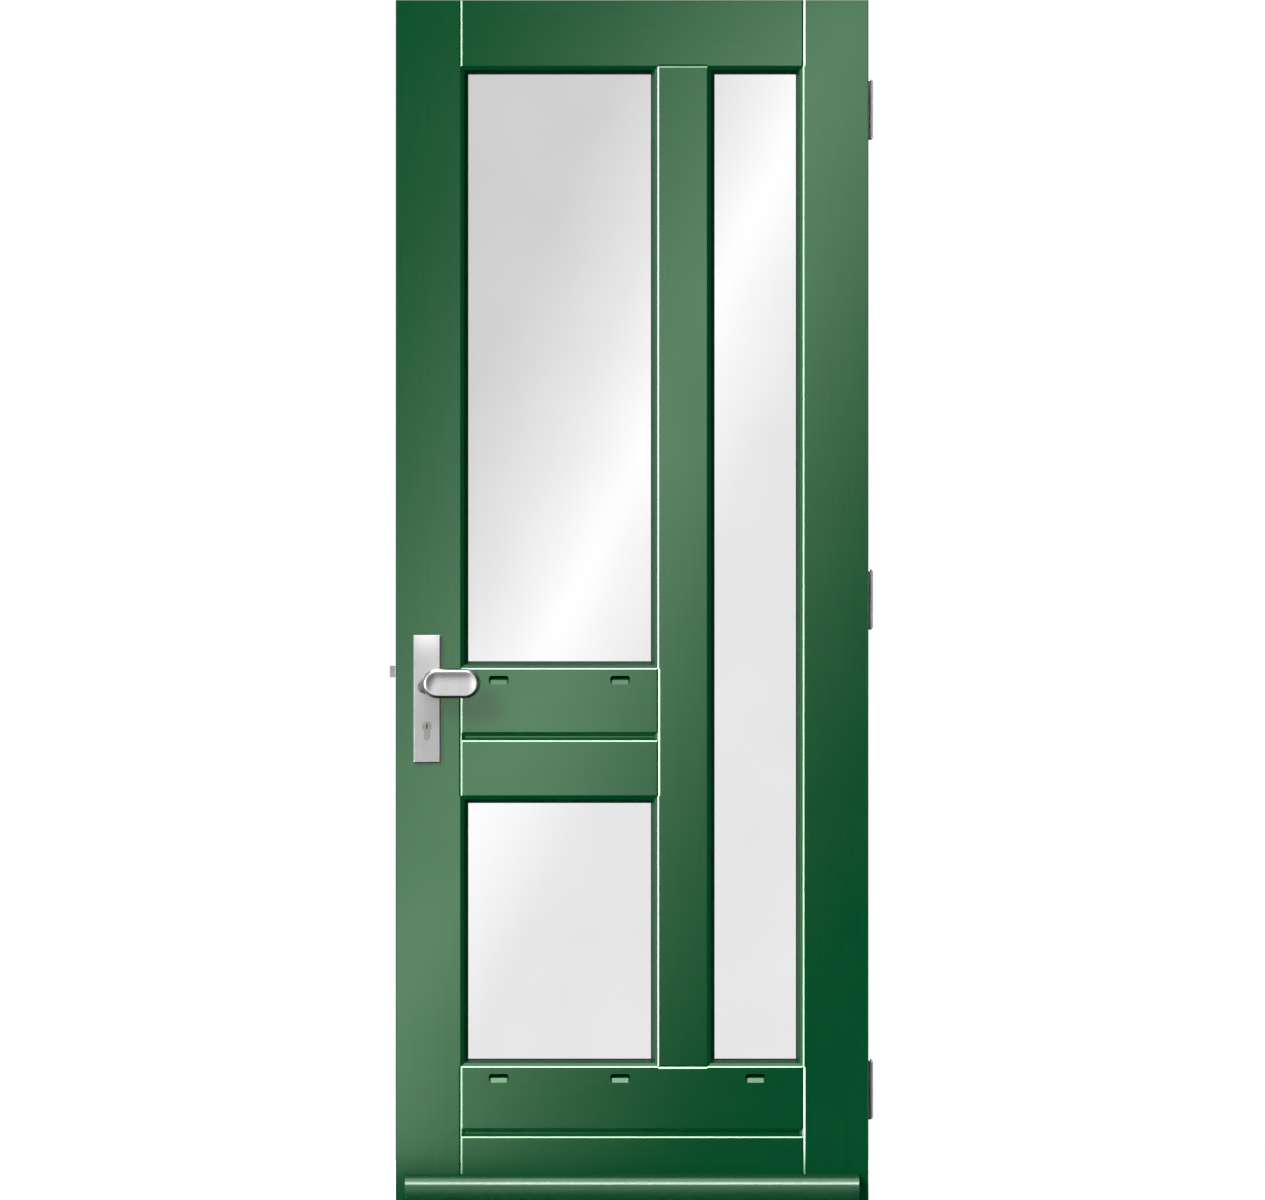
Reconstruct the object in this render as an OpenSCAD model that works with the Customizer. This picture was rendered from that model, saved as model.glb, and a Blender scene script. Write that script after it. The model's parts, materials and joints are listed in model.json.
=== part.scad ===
// Glazed front door leaf: a framed timber leaf with three insulated glass lights, a mortise lock
// with a profile cylinder, a fixed outside knob, an inside lever and three butt hinges.
// Sizes are in millimetres. +Z is up, +Y points into the house, the lock edge is on the -X side.
// Every piece is written from the bottom middle of the outer face of the leaf, and is then moved
// so that the origin is the middle of the screw holes of the lowest hinge, on the jamb.

/* [Leaf] */
// Width of the leaf from edge to edge
leaf_w = 830; // [780:5:980]
// Height of the leaf
leaf_h = 2115; // [2015:5:2315]
// Thickness of the leaf
leaf_t = 54; // [52:1:66]
// Easing on the long corners of the leaf
edge_ease = 1.5; // [0.5:0.5:3]

/* [Stiles and rails] */
// Face width of a stile, from the edge of the leaf to the moulding
stile_w = 114; // [108:1:130]
// Face height of the top rail
top_rail_h = 116; // [90:1:160]
// Face height of the lock rail
lock_rail_h = 223; // [160:1:260]
// Height of the underside of the lock rail above the bottom of the leaf
lock_rail_z = 718; // [660:1:800]
// Face height of the bottom rail
bottom_rail_h = 242; // [190:1:300]
// Face width of the mullion
mullion_w = 86; // [70:1:120]
// Width of the tall side light, between mouldings
side_light_w = 169; // [140:1:220]
// Thickness of every tenon
tenon_t = 16; // [12:1:18]
// Length of the tenons of the top and bottom rails
tenon_l = 60; // [30:1:80]
// Length of the stub tenon of the lock rail beside the lock
lock_tenon_l = 12; // [6:1:16]
// Length of the tenons that enter or leave the mullion
mullion_tenon_l = 40; // [20:1:50]
// Wood left between a tenon and the edge of its rail
tenon_margin = 22; // [18:1:30]
// Space between the two tenons of a wide rail
tenon_space = 40; // [20:1:60]

/* [Mouldings] */
// Width of the small facet on every moulded corner
arris_w = 2; // [1:0.5:3]
// Depth of that facet
arris_d = 0.9; // [0.4:0.1:1.5]
// Width of the bevel round each light
bevel_w = 6.5; // [5:0.5:9]
// Depth of the bevel round each light
bevel_d = 4.5; // [3:0.5:7]
// Width of the steep edge between the bevel and the glass
reveal_w = 5; // [2:0.5:7]
// Thickness of the moulded lip in front of the glass
lip_t = 17; // [14:0.5:20]
// Square edge at the back of the lip
lip_flat = 2; // [1:0.5:4]
// Width of the V line where two members meet
v_joint_w = 6; // [3:0.5:8]
// Depth of the V line
v_joint_d = 1.5; // [1:0.1:2.5]
// Width of the groove across the wide rails
groove_w = 17; // [12:0.5:24]
// Depth of the groove
groove_d = 6.5; // [4:0.5:9]
// Flat at the bottom of the groove
groove_flat = 2; // [1:0.5:4]

/* [Weep slots] */
// Length of a weep slot
weep_w = 35; // [20:1:50]
// Opening of the passage of a weep slot, measured square to its slope
weep_h = 8.5; // [6:0.5:10]
// Opening of the mouth of a weep slot, measured square to its ramp
mouth_h = 7.5; // [6:0.5:9]
// Depth of the ramp in the mouth of a weep slot
mouth_d = 4.5; // [3:0.5:6]
// Rise of the ramp in the mouth of a weep slot, in degrees
mouth_slope = 60; // [56:1:64]
// Distance of the slot below the moulding
weep_drop = 20; // [17:0.5:26]
// Distance of the slots from the ends of a wide light
weep_inset = 67; // [50:1:90]
// Rise of the passage towards the glass, in degrees
weep_slope = 42; // [35:1:50]

/* [Glazing] */
// Thickness of each pane
glass_t = 4; // [3:0.5:6]
// Space between the two panes
cavity_t = 12; // [8:1:14]
// Thickness of the outer gasket
gasket_t = 3; // [2:0.5:4]
// Thickness of the inner tape
tape_t = 2; // [1:0.5:3]
// Space round the glass in its rebate
glass_gap = 4; // [3:0.5:5]
// Width of a gasket
gasket_w = 9; // [6:0.5:10]
// How far a gasket shows past the lip
gasket_show = 1.5; // [0.5:0.5:3]
// Width of the spacer between the panes
spacer_w = 8; // [6:0.5:9]
// Distance of the spacer from the edge of the glass
spacer_inset = 1; // [0.5:0.5:2]
// Bevel on the room side of the beads
bead_bevel = 6; // [3:0.5:9]
// Length of a setting block
block_l = 50; // [30:1:60]
// Distance of the blocks from the ends of a wide light
block_inset = 121; // [112:1:140]
// Distance of the blocks from the ends of the side light
side_block_inset = 35; // [30:1:38]

/* [Weather bar] */
// Height of the bar
bar_h = 46; // [40:1:60]
// Projection of the bar from the leaf
bar_d = 26; // [18:1:40]
// Height of the bar above the bottom of the leaf
bar_z = 8; // [4:1:20]
// Distance of the bar from each edge of the leaf
bar_inset = 16.5; // [8:0.5:30]
// Height of the rounded top of the bar above its front edge
bar_crown_h = 17.5; // [14:0.5:20]
// Backward lean of the rounded top at its front edge, in degrees
bar_edge_lean = 22; // [15:1:28]
// Height of the deepest line of the bowed front, as a share of the height of the front
bar_bow_share = 0.56; // [0.52:0.01:0.6]
// Depth of the bow of the front
bar_bow_d = 4; // [3:0.5:5]
// Length and height of the tongue that enters the leaf
bar_tongue = 8; // [5:1:12]
// Radius of the drip groove under the bar
drip_r = 2.5; // [1.5:0.5:4]

/* [Door furniture] */
// Distance of the spindle from the lock edge
backset = 55; // [50:1:60]
// Height of the spindle above the bottom of the leaf
spindle_z = 912; // [880:1:930]
// Distance of the cylinder below the spindle
cylinder_drop = 72; // [72:1:80]
// Width of the plates
plate_w = 48; // [40:1:56]
// Thickness of the outside plate
plate_t = 10; // [8:0.5:14]
// Thickness of the inside plate
inner_plate_t = 9; // [8:0.5:12]
// Bevel round the face of the plates
plate_bevel = 2; // [1:0.5:3]
// Distance of the lower plate bolt below the lock case
bolt_below = 10.5; // [8:0.5:20]
// Distance of the upper plate bolt above the lock case
bolt_above = 31.5; // [10:0.5:40]
// Length of the plates beyond their bolts
plate_end = 14; // [11:0.5:20]
// Radius of the plate bolts
plate_bolt_r = 2.5; // [2:0.5:3]
// Radius of the bosses behind the outside plate
plate_boss_r = 5; // [4.5:0.5:6]
// Length of those bosses
plate_boss_l = 15; // [10:1:18]

/* [Knob] */
// Width of the oval pad of the knob
pad_w = 100; // [80:1:110]
// Height of the pad
pad_h = 52; // [44:1:60]
// Thickness of the pad
pad_t = 18; // [14:0.5:24]
// Distance of the middle of the pad from the spindle
pad_offset = 43; // [36:1:50]
// Height of the middle of the pad above the spindle
pad_rise = 3.5; // [0:0.5:6]
// Space for the fingers behind the pad
pad_lift = 32; // [28:1:45]
// Radius of the foot of the neck
neck_r = 14.5; // [12:0.5:18]
// Width of the rounded border round the dished face
pad_border = 5.5; // [4:0.5:8]
// Depth of the dish in the face
pad_dish = 2; // [1:0.5:4]
// Radius of the stud that holds the knob
stud_r = 5; // [4:0.5:6]

/* [Lever] */
// Radius of the lever
lever_r = 9.5; // [8:0.5:11]
// Radius of the bend of the lever
lever_bend = 17; // [14:1:24]
// Straight neck of the lever outside its plate
lever_neck = 19; // [14:1:30]
// Straight length of the grip
lever_grip = 95; // [80:1:120]
// Flange that holds the lever behind the plate
lever_flange_r = 13; // [12.5:0.5:15]
// Thickness of that flange
lever_flange_t = 3; // [2:0.5:4]
// Side of the square spindle
spindle_s = 8; // [7:0.5:9]

/* [Lock] */
// Thickness of the lock case
case_t = 16; // [15:0.5:18]
// Thickness of its sheet
case_wall = 1.5; // [1:0.1:1.8]
// Distance from the cylinder to the bottom of the case
case_below = 40; // [32:1:42]
// Distance from the spindle to the top of the case
case_above = 43; // [40:1:50]
// Distance from the spindle to the back of the case
case_behind = 30; // [28:1:33]
// Thickness of the forend
forend_t = 3; // [2.5:0.5:4]
// Width of the forend
forend_w = 22; // [20:1:24]
// How far the forend reaches past each end of the case
forend_reach = 38; // [30:1:45]
// Radius of the forend screws
forend_screw_r = 2; // [1.5:0.5:2.5]
// Travel of the latch
latch_travel = 11; // [8:0.5:12]
// Height of the latch
latch_h = 20; // [16:1:22]
// Thickness of the latch and the dead bolt
bolt_t = 11; // [9:0.5:11.5]
// Distance of the middle of the latch above the spindle
latch_rise = 24; // [23:0.5:28]
// Height of the dead bolt
dead_bolt_h = 30; // [24:1:32]
// Length of the dead bolt head
dead_bolt_l = 33; // [30:1:36]
// Radius of the follower
follower_r = 12; // [11:0.5:13]
// Radius of the follower's bearings in the case
follower_boss_r = 10; // [9:0.5:10.5]
// Reach of the arm of the follower
arm_reach = 20; // [19:0.5:21]
// Width of that arm
arm_w = 8; // [6:0.5:9]
// Thickness of that arm
arm_t = 5; // [4:0.5:5.5]
// Play between the arm and the latch
arm_play = 1.8; // [1.5:0.1:2.5]

/* [Cylinder] */
// Radius of the round part of the cylinder
cyl_r = 8.5; // [8.5:0.5:9]
// Height of the cylinder
cyl_h = 33; // [32:0.5:34]
// Width of its lower part
cyl_slot_w = 10; // [9:0.5:11]
// How far the cylinder stands out of the plates
cyl_proud = 1; // [0.5:0.5:2]
// Radius of the plugs
plug_r = 6.5; // [6:0.1:7]
// Width of the cam
cam_t = 10; // [8:0.5:11]
// Reach of the cam
cam_r = 15.2; // [14:0.1:15.4]
// Radius of the fixing screw of the cylinder
cyl_screw_r = 2.5; // [2:0.1:2.6]
// Width of the keyway
keyway_w = 2.6; // [2:0.1:3]
// Height of the keyway
keyway_h = 8.5; // [7:0.5:9]
// Depth of the keyway
keyway_l = 28; // [20:1:30]

/* [Hinges] */
// Height of a hinge
hinge_h = 100; // [80:1:120]
// Height of the middle of the lowest hinge above the bottom of the leaf
hinge_low = 200; // [160:1:240]
// Distance of the middle of the highest hinge below the top of the leaf
hinge_top = 190; // [160:1:240]
// Thickness of a hinge flap
flap_t = 3.5; // [3:0.5:4]
// Width of a hinge flap from the pin
flap_w = 40; // [36:1:44]
// Space between the two flaps of a closed hinge
flap_gap = 4; // [3:0.5:5]
// Radius of a knuckle
knuckle_r = 7; // [6.5:0.5:8]
// Radius of a pin
pin_r = 4; // [3.5:0.1:4.2]
// Thickness of a bearing ring
ring_t = 2; // [1:0.5:3]
// Radius of the screw holes in the frame-side flaps
hinge_hole_r = 2.75; // [2.7:0.05:3]
// Radius of the shanks of the hinge screws
screw_shank_r = 2.4; // [2.2:0.05:2.4]
// Spacing of the screw holes across a flap
hole_step_y = 16; // [14:1:18]
// Spacing of the screw holes along a flap
hole_step_z = 66; // [50:1:70]
// Depth of the countersinks
sink_d = 2; // [1.5:0.1:2.2]
// Radius of the heads of the hinge screws
screw_head_r = 4.8; // [4.5:0.1:5.2]
// Length of the hinge screws
screw_l = 45; // [35:1:50]

/* [Fits] */
// Running clearance of pins, plugs and bearings
run_gap = 0.05; // [0.03:0.01:0.1]
// Clearance of bolts and screws in their holes
hole_gap = 0.1; // [0.05:0.05:0.3]
// Clearance of sliding bolts in their guides
slide_gap = 0.4; // [0.3:0.1:0.6]
// Clearance of the lock and the cylinder in the wood
pocket_gap = 0.5; // [0.5:0.1:1]
// Open line at the mitres of the beads
mitre_gap = 0.2; // [0.1:0.1:0.5]

/* [Hidden] */
$fn = 48;
eps = 1;

// Lines of the mouldings on the outer face
x_edge = -leaf_w / 2;
x_left = x_edge + stile_w;
x_right = -x_left;
x_mull_r = x_right - side_light_w;
x_mull_l = x_mull_r - mullion_w;
z_bottom = bottom_rail_h;
z_lock_0 = lock_rail_z;
z_lock_1 = lock_rail_z + lock_rail_h;
z_top = leaf_h - top_rail_h;

// Each light as [left, right, low, high] between its mouldings
upper_light = [x_left, x_mull_l, z_lock_1, z_top];
lower_light = [x_left, x_mull_l, z_bottom, z_lock_0];
side_light = [x_mull_r, x_right, z_bottom, z_top];

// Depths of the glazing from the outer face
lip_u = bevel_w + reveal_w;
gasket_u = lip_u + gasket_show;
y_glass = lip_t + gasket_t;
y_cavity = y_glass + glass_t;
y_inner = y_cavity + cavity_t;
y_tape = y_inner + glass_t;
y_bead = y_tape + tape_t;
y_mid = leaf_t / 2;

// Section of an edge, as distance past the moulding line and depth from the outer face
moulded_edge = [
    [-arris_w / 2, 0], [arris_w / 2, arris_d], [bevel_w, bevel_d], [lip_u, lip_t - lip_flat],
    [lip_u, lip_t], [-glass_gap, lip_t], [-glass_gap, leaf_t]
];
square_edge = [[-edge_ease, 0], [0, edge_ease], [0, leaf_t - edge_ease], [-edge_ease, leaf_t]];

// Furniture and lock
x_spin = x_edge + backset;
z_cyl = spindle_z - cylinder_drop;
case_x0 = x_edge + forend_t;
case_x1 = x_spin + case_behind;
case_z0 = z_cyl - case_below;
case_z1 = spindle_z + case_above;
bolt_zs = [case_z0 - bolt_below, case_z1 + bolt_above];
plate_z = bolt_zs[0] - plate_end;
plate_h = bolt_zs[1] - bolt_zs[0] + 2 * plate_end;
case_y0 = y_mid - case_t / 2;
case_y1 = y_mid + case_t / 2;
latch_z = spindle_z + latch_rise;
latch_low = latch_z - latch_h / 2;
latch_body_x = case_x0 + latch_travel + 2;
cross_x = x_spin + arm_w / 2 + arm_play;
cross_t = 6;
cross_h = 6;
cheek_t = (bolt_t - arm_t - 1) / 2;
cyl_floor = cyl_h - cyl_r - cyl_slot_w / 2;
cam_clear = cam_r + 0.6;
dead_bolt_z = z_cyl + cam_clear + 0.2;
cyl_screw_z = z_cyl - (cam_clear + cyl_h - cyl_r) / 2;
cyl_y0 = -plate_t - cyl_proud;
cyl_y1 = leaf_t + inner_plate_t + cyl_proud;
forend_z0 = case_z0 - forend_reach;
forend_z1 = case_z1 + forend_reach;
forend_screw_zs = [forend_z0 + forend_reach / 3, forend_z1 - forend_reach / 3];
boss_gap = 0.5;
lever_y0 = leaf_t + hole_gap;
lever_bend_y = leaf_t + inner_plate_t + lever_neck;

// Hinges
hinge_zs = [hinge_low, (hinge_low + leaf_h - hinge_top) / 2, leaf_h - hinge_top];
pin_x = leaf_w / 2 + flap_gap / 2;
pin_y = leaf_t + knuckle_r + 0.5;
flap_y0 = pin_y - flap_w;
flap_y1 = pin_y - knuckle_r - 1;
hole_y = (flap_y0 + leaf_t) / 2;
jamb_x = leaf_w / 2 + flap_gap + flap_t;
knuckle = hinge_h / 5;
end_play = 0.1;
pin_cap_r = knuckle_r - 1;
pin_cap_h = 3;

// Weather bar
bar_x = leaf_w / 2 - bar_inset;
bar_tongue_z = bar_z + bar_h / 2;
bar_bow_h = (bar_h - bar_crown_h) * bar_bow_share;
bar_turn = asin(1 / bar_bow_share - 1);
bar_edge_d = bar_d - bar_bow_d * (1 - cos(bar_turn));
bar_lean = tan(bar_edge_lean) * bar_crown_h / bar_edge_d;
bar_edge = asin(bar_lean / (1 - bar_lean));
bar_crown_ry = bar_edge_d / cos(bar_edge);
bar_crown_rz = bar_crown_h / (1 - sin(bar_edge));

// Points of an edge seen from its other side
function turned(edge) = [for (i = [len(edge) - 1:-1:0]) [-edge[i].x, edge[i].y]];

// Section of a member of face width w, from its low edge to its high edge
function section(w, low, high) = concat(turned(low), [for (p = high) [w + p.x, p.y]]);

// Points of an arc
function arc(c, rx, ry, a0, a1, n) =
    [for (i = [0:n]) c + [rx * cos(a0 + (a1 - a0) * i / n), ry * sin(a0 + (a1 - a0) * i / n)]];

// Moves every piece from the leaf's own datum to the middle of the lowest hinge's screw holes
module at_jamb() {
    translate([-jamb_x, -hole_y, -hinge_low]) children();
}

// Extrudes an XZ outline from y0 to y1
module along_y(y0, y1) {
    translate([0, y1, 0]) rotate([90, 0, 0]) linear_extrude(y1 - y0) children();
}

// Extrudes a YZ outline from x0 to x1
module along_x(x0, x1) {
    translate([x0, 0, 0]) rotate([90, 0, 90]) linear_extrude(x1 - x0) children();
}

// A block between two corners
module block(a, b) {
    translate(a) cube(b - a);
}

// Round bar along X, Y or Z
module rod_x(x0, x1, y, z, r) {
    translate([x0, y, z]) rotate([0, 90, 0]) cylinder(r = r, h = x1 - x0);
}

module rod_y(x, y0, y1, z, r) {
    translate([x, y0, z]) rotate([-90, 0, 0]) cylinder(r = r, h = y1 - y0);
}

// Rectangular ring inside a light, between two distances past the moulding line
module light_ring(l, u0, u1, y0, y1) {
    difference() {
        block([l[0] + u0, y0, l[2] + u0], [l[1] - u0, y1, l[3] - u0]);
        block([l[0] + u1, y0 - eps, l[2] + u1], [l[1] - u1, y1 + eps, l[3] - u1]);
    }
}

// Timber sections as they leave the moulder
module left_stile_blank() {
    translate([x_edge, 0, 0]) linear_extrude(leaf_h) polygon(section(stile_w, square_edge, moulded_edge));
}

module right_stile_blank() {
    translate([x_right, 0, 0]) linear_extrude(leaf_h) polygon(section(stile_w, moulded_edge, square_edge));
}

module mullion_blank(z0, z1) {
    translate([x_mull_l, 0, z0]) linear_extrude(z1 - z0) polygon(section(mullion_w, moulded_edge, moulded_edge));
}

module rail_blank(x0, x1, z0, h, low, high) {
    translate([0, 0, z0]) along_x(x0, x1) polygon([for (p = section(h, low, high)) [p.y, p.x]]);
}

module top_rail_blank() {
    rail_blank(x_left - glass_gap, x_right + glass_gap, z_top, top_rail_h, moulded_edge, square_edge);
}

module bottom_rail_blank() {
    rail_blank(x_left - glass_gap, x_right + glass_gap, 0, bottom_rail_h, square_edge, moulded_edge);
}

module lock_rail_blank() {
    rail_blank(x_left - glass_gap, x_mull_l + glass_gap, z_lock_0, lock_rail_h, moulded_edge, moulded_edge);
}

// V line on the outer face, upright or level
v_joint = [[-v_joint_w / 2 * (1 + eps / v_joint_d), -eps], [v_joint_w / 2 * (1 + eps / v_joint_d), -eps],
    [0, v_joint_d]];

module v_upright(x, z0, z1) {
    translate([x, 0, z0]) linear_extrude(z1 - z0) polygon(v_joint);
}

module v_level(z, x0, x1) {
    translate([0, 0, z]) along_x(x0, x1) polygon([for (p = v_joint) [p.y, p.x]]);
}

// Groove with two slopes and mitred ends, stopped at the V lines
groove_run = [[-eps, arris_w * eps / arris_d], [0, 0], [arris_d, -arris_w], [groove_d, (groove_flat - groove_w) / 2]];

module face_groove(x0, x1, z) {
    low = [for (p = groove_run) [p.x, -groove_w / 2 - p.y]];
    high = [for (i = [len(groove_run) - 1:-1:0]) [groove_run[i].x, groove_w / 2 + groove_run[i].y]];
    left = [for (p = groove_run) [x0 - p.y, p.x]];
    right = [for (i = [len(groove_run) - 1:-1:0]) [x1 + groove_run[i].y, groove_run[i].x]];
    intersection() {
        translate([0, 0, z]) along_x(x0 - groove_w, x1 + groove_w) polygon(concat(low, high));
        translate([0, 0, z - groove_w]) linear_extrude(2 * groove_w) polygon(concat(left, right));
    }
}

// Round-ended cut that rises from the outer face, with its lower edge at height z on that face
module sloping_slot(z, h, slope, length) {
    start = h * tan(slope);
    translate([0, 0, z + h / 2 / cos(slope)]) rotate([slope - 90, 0, 0]) translate([0, 0, -start])
        linear_extrude(length + start) {
            square([weep_w - h, h], center = true);
            translate([(weep_w - h) / 2, 0]) circle(d = h);
            translate([(h - weep_w) / 2, 0]) circle(d = h);
        }
}

// Slot that drains the rebate: a steep ramp in the outer face, and a passage above it that rises to the glass
module weep_slot(x, z) {
    rise = mouth_d * (tan(mouth_slope) - tan(weep_slope));
    lip = z - weep_drop - (rise + weep_h / cos(weep_slope)) / 2;
    ramp_l = (mouth_d - sin(mouth_slope) * mouth_h / 2) / cos(mouth_slope) + hole_gap;
    translate([x, 0, 0]) {
        sloping_slot(lip, mouth_h, mouth_slope, ramp_l);
        sloping_slot(lip + rise, weep_h, weep_slope, (lip_t + gasket_t) / cos(weep_slope));
    }
}

module weep_slots(l, inset) {
    weep_slot(l[0] + inset, l[2]);
    weep_slot(l[1] - inset, l[2]);
}

// Tenons of each joint, also used to cut the mortises
module tenon(x0, x1, z0, z1) {
    block([x0, y_mid - tenon_t / 2, z0], [x1, y_mid + tenon_t / 2, z1]);
}

module twin_tenon(x0, x1, z0, z1) {
    middle = (z0 + z1) / 2;
    tenon(x0, x1, z0 + tenon_margin, middle - tenon_space / 2);
    tenon(x0, x1, middle + tenon_space / 2, z1 - tenon_margin);
}

module left_tenons() {
    x1 = x_left - glass_gap;
    tenon(x1 - tenon_l, x1, z_top + tenon_margin, leaf_h - tenon_margin);
    twin_tenon(x1 - tenon_l, x1, 0, z_bottom);
    twin_tenon(x1 - lock_tenon_l, x1, z_lock_0, z_lock_1);
}

module right_tenons() {
    x0 = x_right + glass_gap;
    tenon(x0, x0 + tenon_l, z_top + tenon_margin, leaf_h - tenon_margin);
    twin_tenon(x0, x0 + tenon_l, 0, z_bottom);
}

module mullion_tenons() {
    x0 = x_mull_l + tenon_margin;
    x1 = x_mull_r - tenon_margin;
    tenon(x0, x1, z_top + glass_gap, z_top + glass_gap + mullion_tenon_l);
    tenon(x0, x1, z_bottom - glass_gap - mullion_tenon_l, z_bottom - glass_gap);
}

module lock_rail_tenon_at_mullion() {
    x0 = x_mull_l + glass_gap;
    twin_tenon(x0, x0 + mullion_tenon_l, z_lock_0, z_lock_1);
}

// V lines of every joint
module left_v_lines() {
    v_upright(x_left, -eps, z_bottom);
    v_upright(x_left, z_lock_0, z_lock_1);
    v_upright(x_left, z_top, leaf_h + eps);
}

module right_v_lines() {
    v_upright(x_right, -eps, z_bottom);
    v_upright(x_right, z_top, leaf_h + eps);
}

module mullion_v_lines() {
    v_level(z_top, x_mull_l, x_mull_r);
    v_level(z_bottom, x_mull_l, x_mull_r);
    v_upright(x_mull_l, z_lock_0, z_lock_1);
}

// Slot in the leaf that takes the tongue of the weather bar
module bar_slot() {
    block([-bar_x, -eps, bar_tongue_z], [bar_x, bar_tongue, bar_tongue_z + bar_tongue]);
}

// Outline of a profile cylinder, round on top with a straight lower part
module euro_profile(extra) {
    circle(r = cyl_r + extra);
    translate([-cyl_slot_w / 2 - extra, -cyl_floor]) square([cyl_slot_w + 2 * extra, cyl_floor]);
    translate([0, -cyl_floor]) circle(r = cyl_slot_w / 2 + extra);
}

// Flat screw head with its cone towards -X, flush at x
module sunk_head(x, y, z, head_r, shank_r, depth) {
    translate([x - depth, y, z]) rotate([0, 90, 0]) cylinder(r1 = shank_r, r2 = head_r, h = depth);
}

// Places children at the four screw holes of a flap whose hinge is at z
module at_holes(z) {
    for (dy = [-1, 1]) {
        for (dz = [-1, 1]) {
            translate([0, hole_y + dy * hole_step_y / 2, z + dz * hole_step_z / 2]) children();
        }
    }
}

// Timber

module lock_stile() {
    color("darkgreen") difference() {
        left_stile_blank();
        left_v_lines();
        left_tenons();
        bar_slot();
        // Pocket of the lock and recess of its forend
        block([x_edge - eps, case_y0 - pocket_gap, case_z0 - pocket_gap],
            [case_x1 + pocket_gap, case_y1 + pocket_gap, case_z1 + pocket_gap]);
        block([x_edge - eps, y_mid - forend_w / 2, forend_z0], [case_x0, y_mid + forend_w / 2, forend_z1]);
        for (z = forend_screw_zs) {
            rod_x(x_edge, x_edge + forend_reach / 2 + forend_t, y_mid, z, forend_screw_r + hole_gap);
        }
        // Passages of the cylinder, the lever and the plate bolts
        translate([x_spin, 0, z_cyl]) along_y(-eps, leaf_t + eps) euro_profile(pocket_gap);
        rod_y(x_spin, y_mid, leaf_t + eps, spindle_z, follower_boss_r + pocket_gap);
        for (z = bolt_zs) {
            rod_y(x_spin, -eps, leaf_t + eps, z, plate_boss_r + hole_gap);
        }
    }
}

module hinge_stile() {
    color("darkgreen") difference() {
        right_stile_blank();
        right_v_lines();
        right_tenons();
        bar_slot();
        for (z = hinge_zs) {
            block([leaf_w / 2 - flap_t, flap_y0, z - hinge_h / 2],
                [leaf_w / 2 + eps, leaf_t + eps, z + hinge_h / 2]);
            at_holes(z) rod_x(leaf_w / 2 - screw_l - eps, leaf_w / 2, 0, 0, screw_shank_r + hole_gap);
        }
    }
}

module top_rail() {
    color("darkgreen") {
        difference() {
            top_rail_blank();
            left_stile_blank();
            right_stile_blank();
            left_v_lines();
            right_v_lines();
            mullion_v_lines();
            mullion_tenons();
        }
        tenon(x_left - glass_gap - tenon_l, x_left - glass_gap, z_top + tenon_margin, leaf_h - tenon_margin);
        tenon(x_right + glass_gap, x_right + glass_gap + tenon_l, z_top + tenon_margin, leaf_h - tenon_margin);
    }
}

module bottom_rail() {
    color("darkgreen") {
        difference() {
            bottom_rail_blank();
            left_stile_blank();
            right_stile_blank();
            left_v_lines();
            right_v_lines();
            mullion_v_lines();
            mullion_tenons();
            bar_slot();
            face_groove(x_left, x_right, bottom_rail_h / 2 + 5);
            weep_slots(lower_light, weep_inset);
            weep_slot((side_light[0] + side_light[1]) / 2, z_bottom);
        }
        twin_tenon(x_left - glass_gap - tenon_l, x_left - glass_gap, 0, z_bottom);
        twin_tenon(x_right + glass_gap, x_right + glass_gap + tenon_l, 0, z_bottom);
    }
}

module lock_rail() {
    color("darkgreen") {
        difference() {
            lock_rail_blank();
            left_stile_blank();
            mullion_blank(z_bottom, z_top);
            left_v_lines();
            mullion_v_lines();
            face_groove(x_left, x_mull_l, z_lock_0 + lock_rail_h / 2 - 8);
            weep_slots(upper_light, weep_inset);
        }
        twin_tenon(x_left - glass_gap - lock_tenon_l, x_left - glass_gap, z_lock_0, z_lock_1);
        lock_rail_tenon_at_mullion();
    }
}

module mullion() {
    color("darkgreen") {
        difference() {
            mullion_blank(z_bottom - glass_gap, z_top + glass_gap);
            top_rail_blank();
            bottom_rail_blank();
            mullion_v_lines();
            lock_rail_tenon_at_mullion();
        }
        mullion_tenons();
    }
}

// Weather bar with a rounded top, a front edge, a bowed front, a drip groove and a tongue
module weather_bar() {
    top = bar_z + bar_h;
    front = arc([bar_bow_d - bar_d, bar_z + bar_bow_h], bar_bow_d, bar_bow_h, 180 - bar_turn, 270, 16);
    outline = concat(
        [[0, bar_z]],
        [[0, bar_tongue_z], [bar_tongue, bar_tongue_z], [bar_tongue, bar_tongue_z + bar_tongue],
            [0, bar_tongue_z + bar_tongue]],
        arc([0, top - bar_crown_rz], bar_crown_ry, bar_crown_rz, 90, 180 - bar_edge, 16),
        [for (i = [1:len(front) - 1]) front[i]]
    );
    color("darkgreen") difference() {
        along_x(-bar_x, bar_x) polygon(outline);
        rod_x(-bar_x - eps, bar_x + eps, -bar_d / 2, bar_z, drip_r);
    }
}

// Glazing of one light

module outer_pane(l) {
    color("lightblue", 0.5) block([l[0], y_glass, l[2]], [l[1], y_cavity, l[3]]);
}

module inner_pane(l) {
    color("lightblue", 0.5) block([l[0], y_inner, l[2]], [l[1], y_tape, l[3]]);
}

module spacer(l) {
    color("silver") light_ring(l, spacer_inset, spacer_inset + spacer_w, y_cavity, y_inner);
}

module gasket(l) {
    color("black") light_ring(l, gasket_u - gasket_w, gasket_u, lip_t, y_glass);
}

module tape(l) {
    color("black") light_ring(l, gasket_u - gasket_w, gasket_u, y_tape, y_bead);
}

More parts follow.
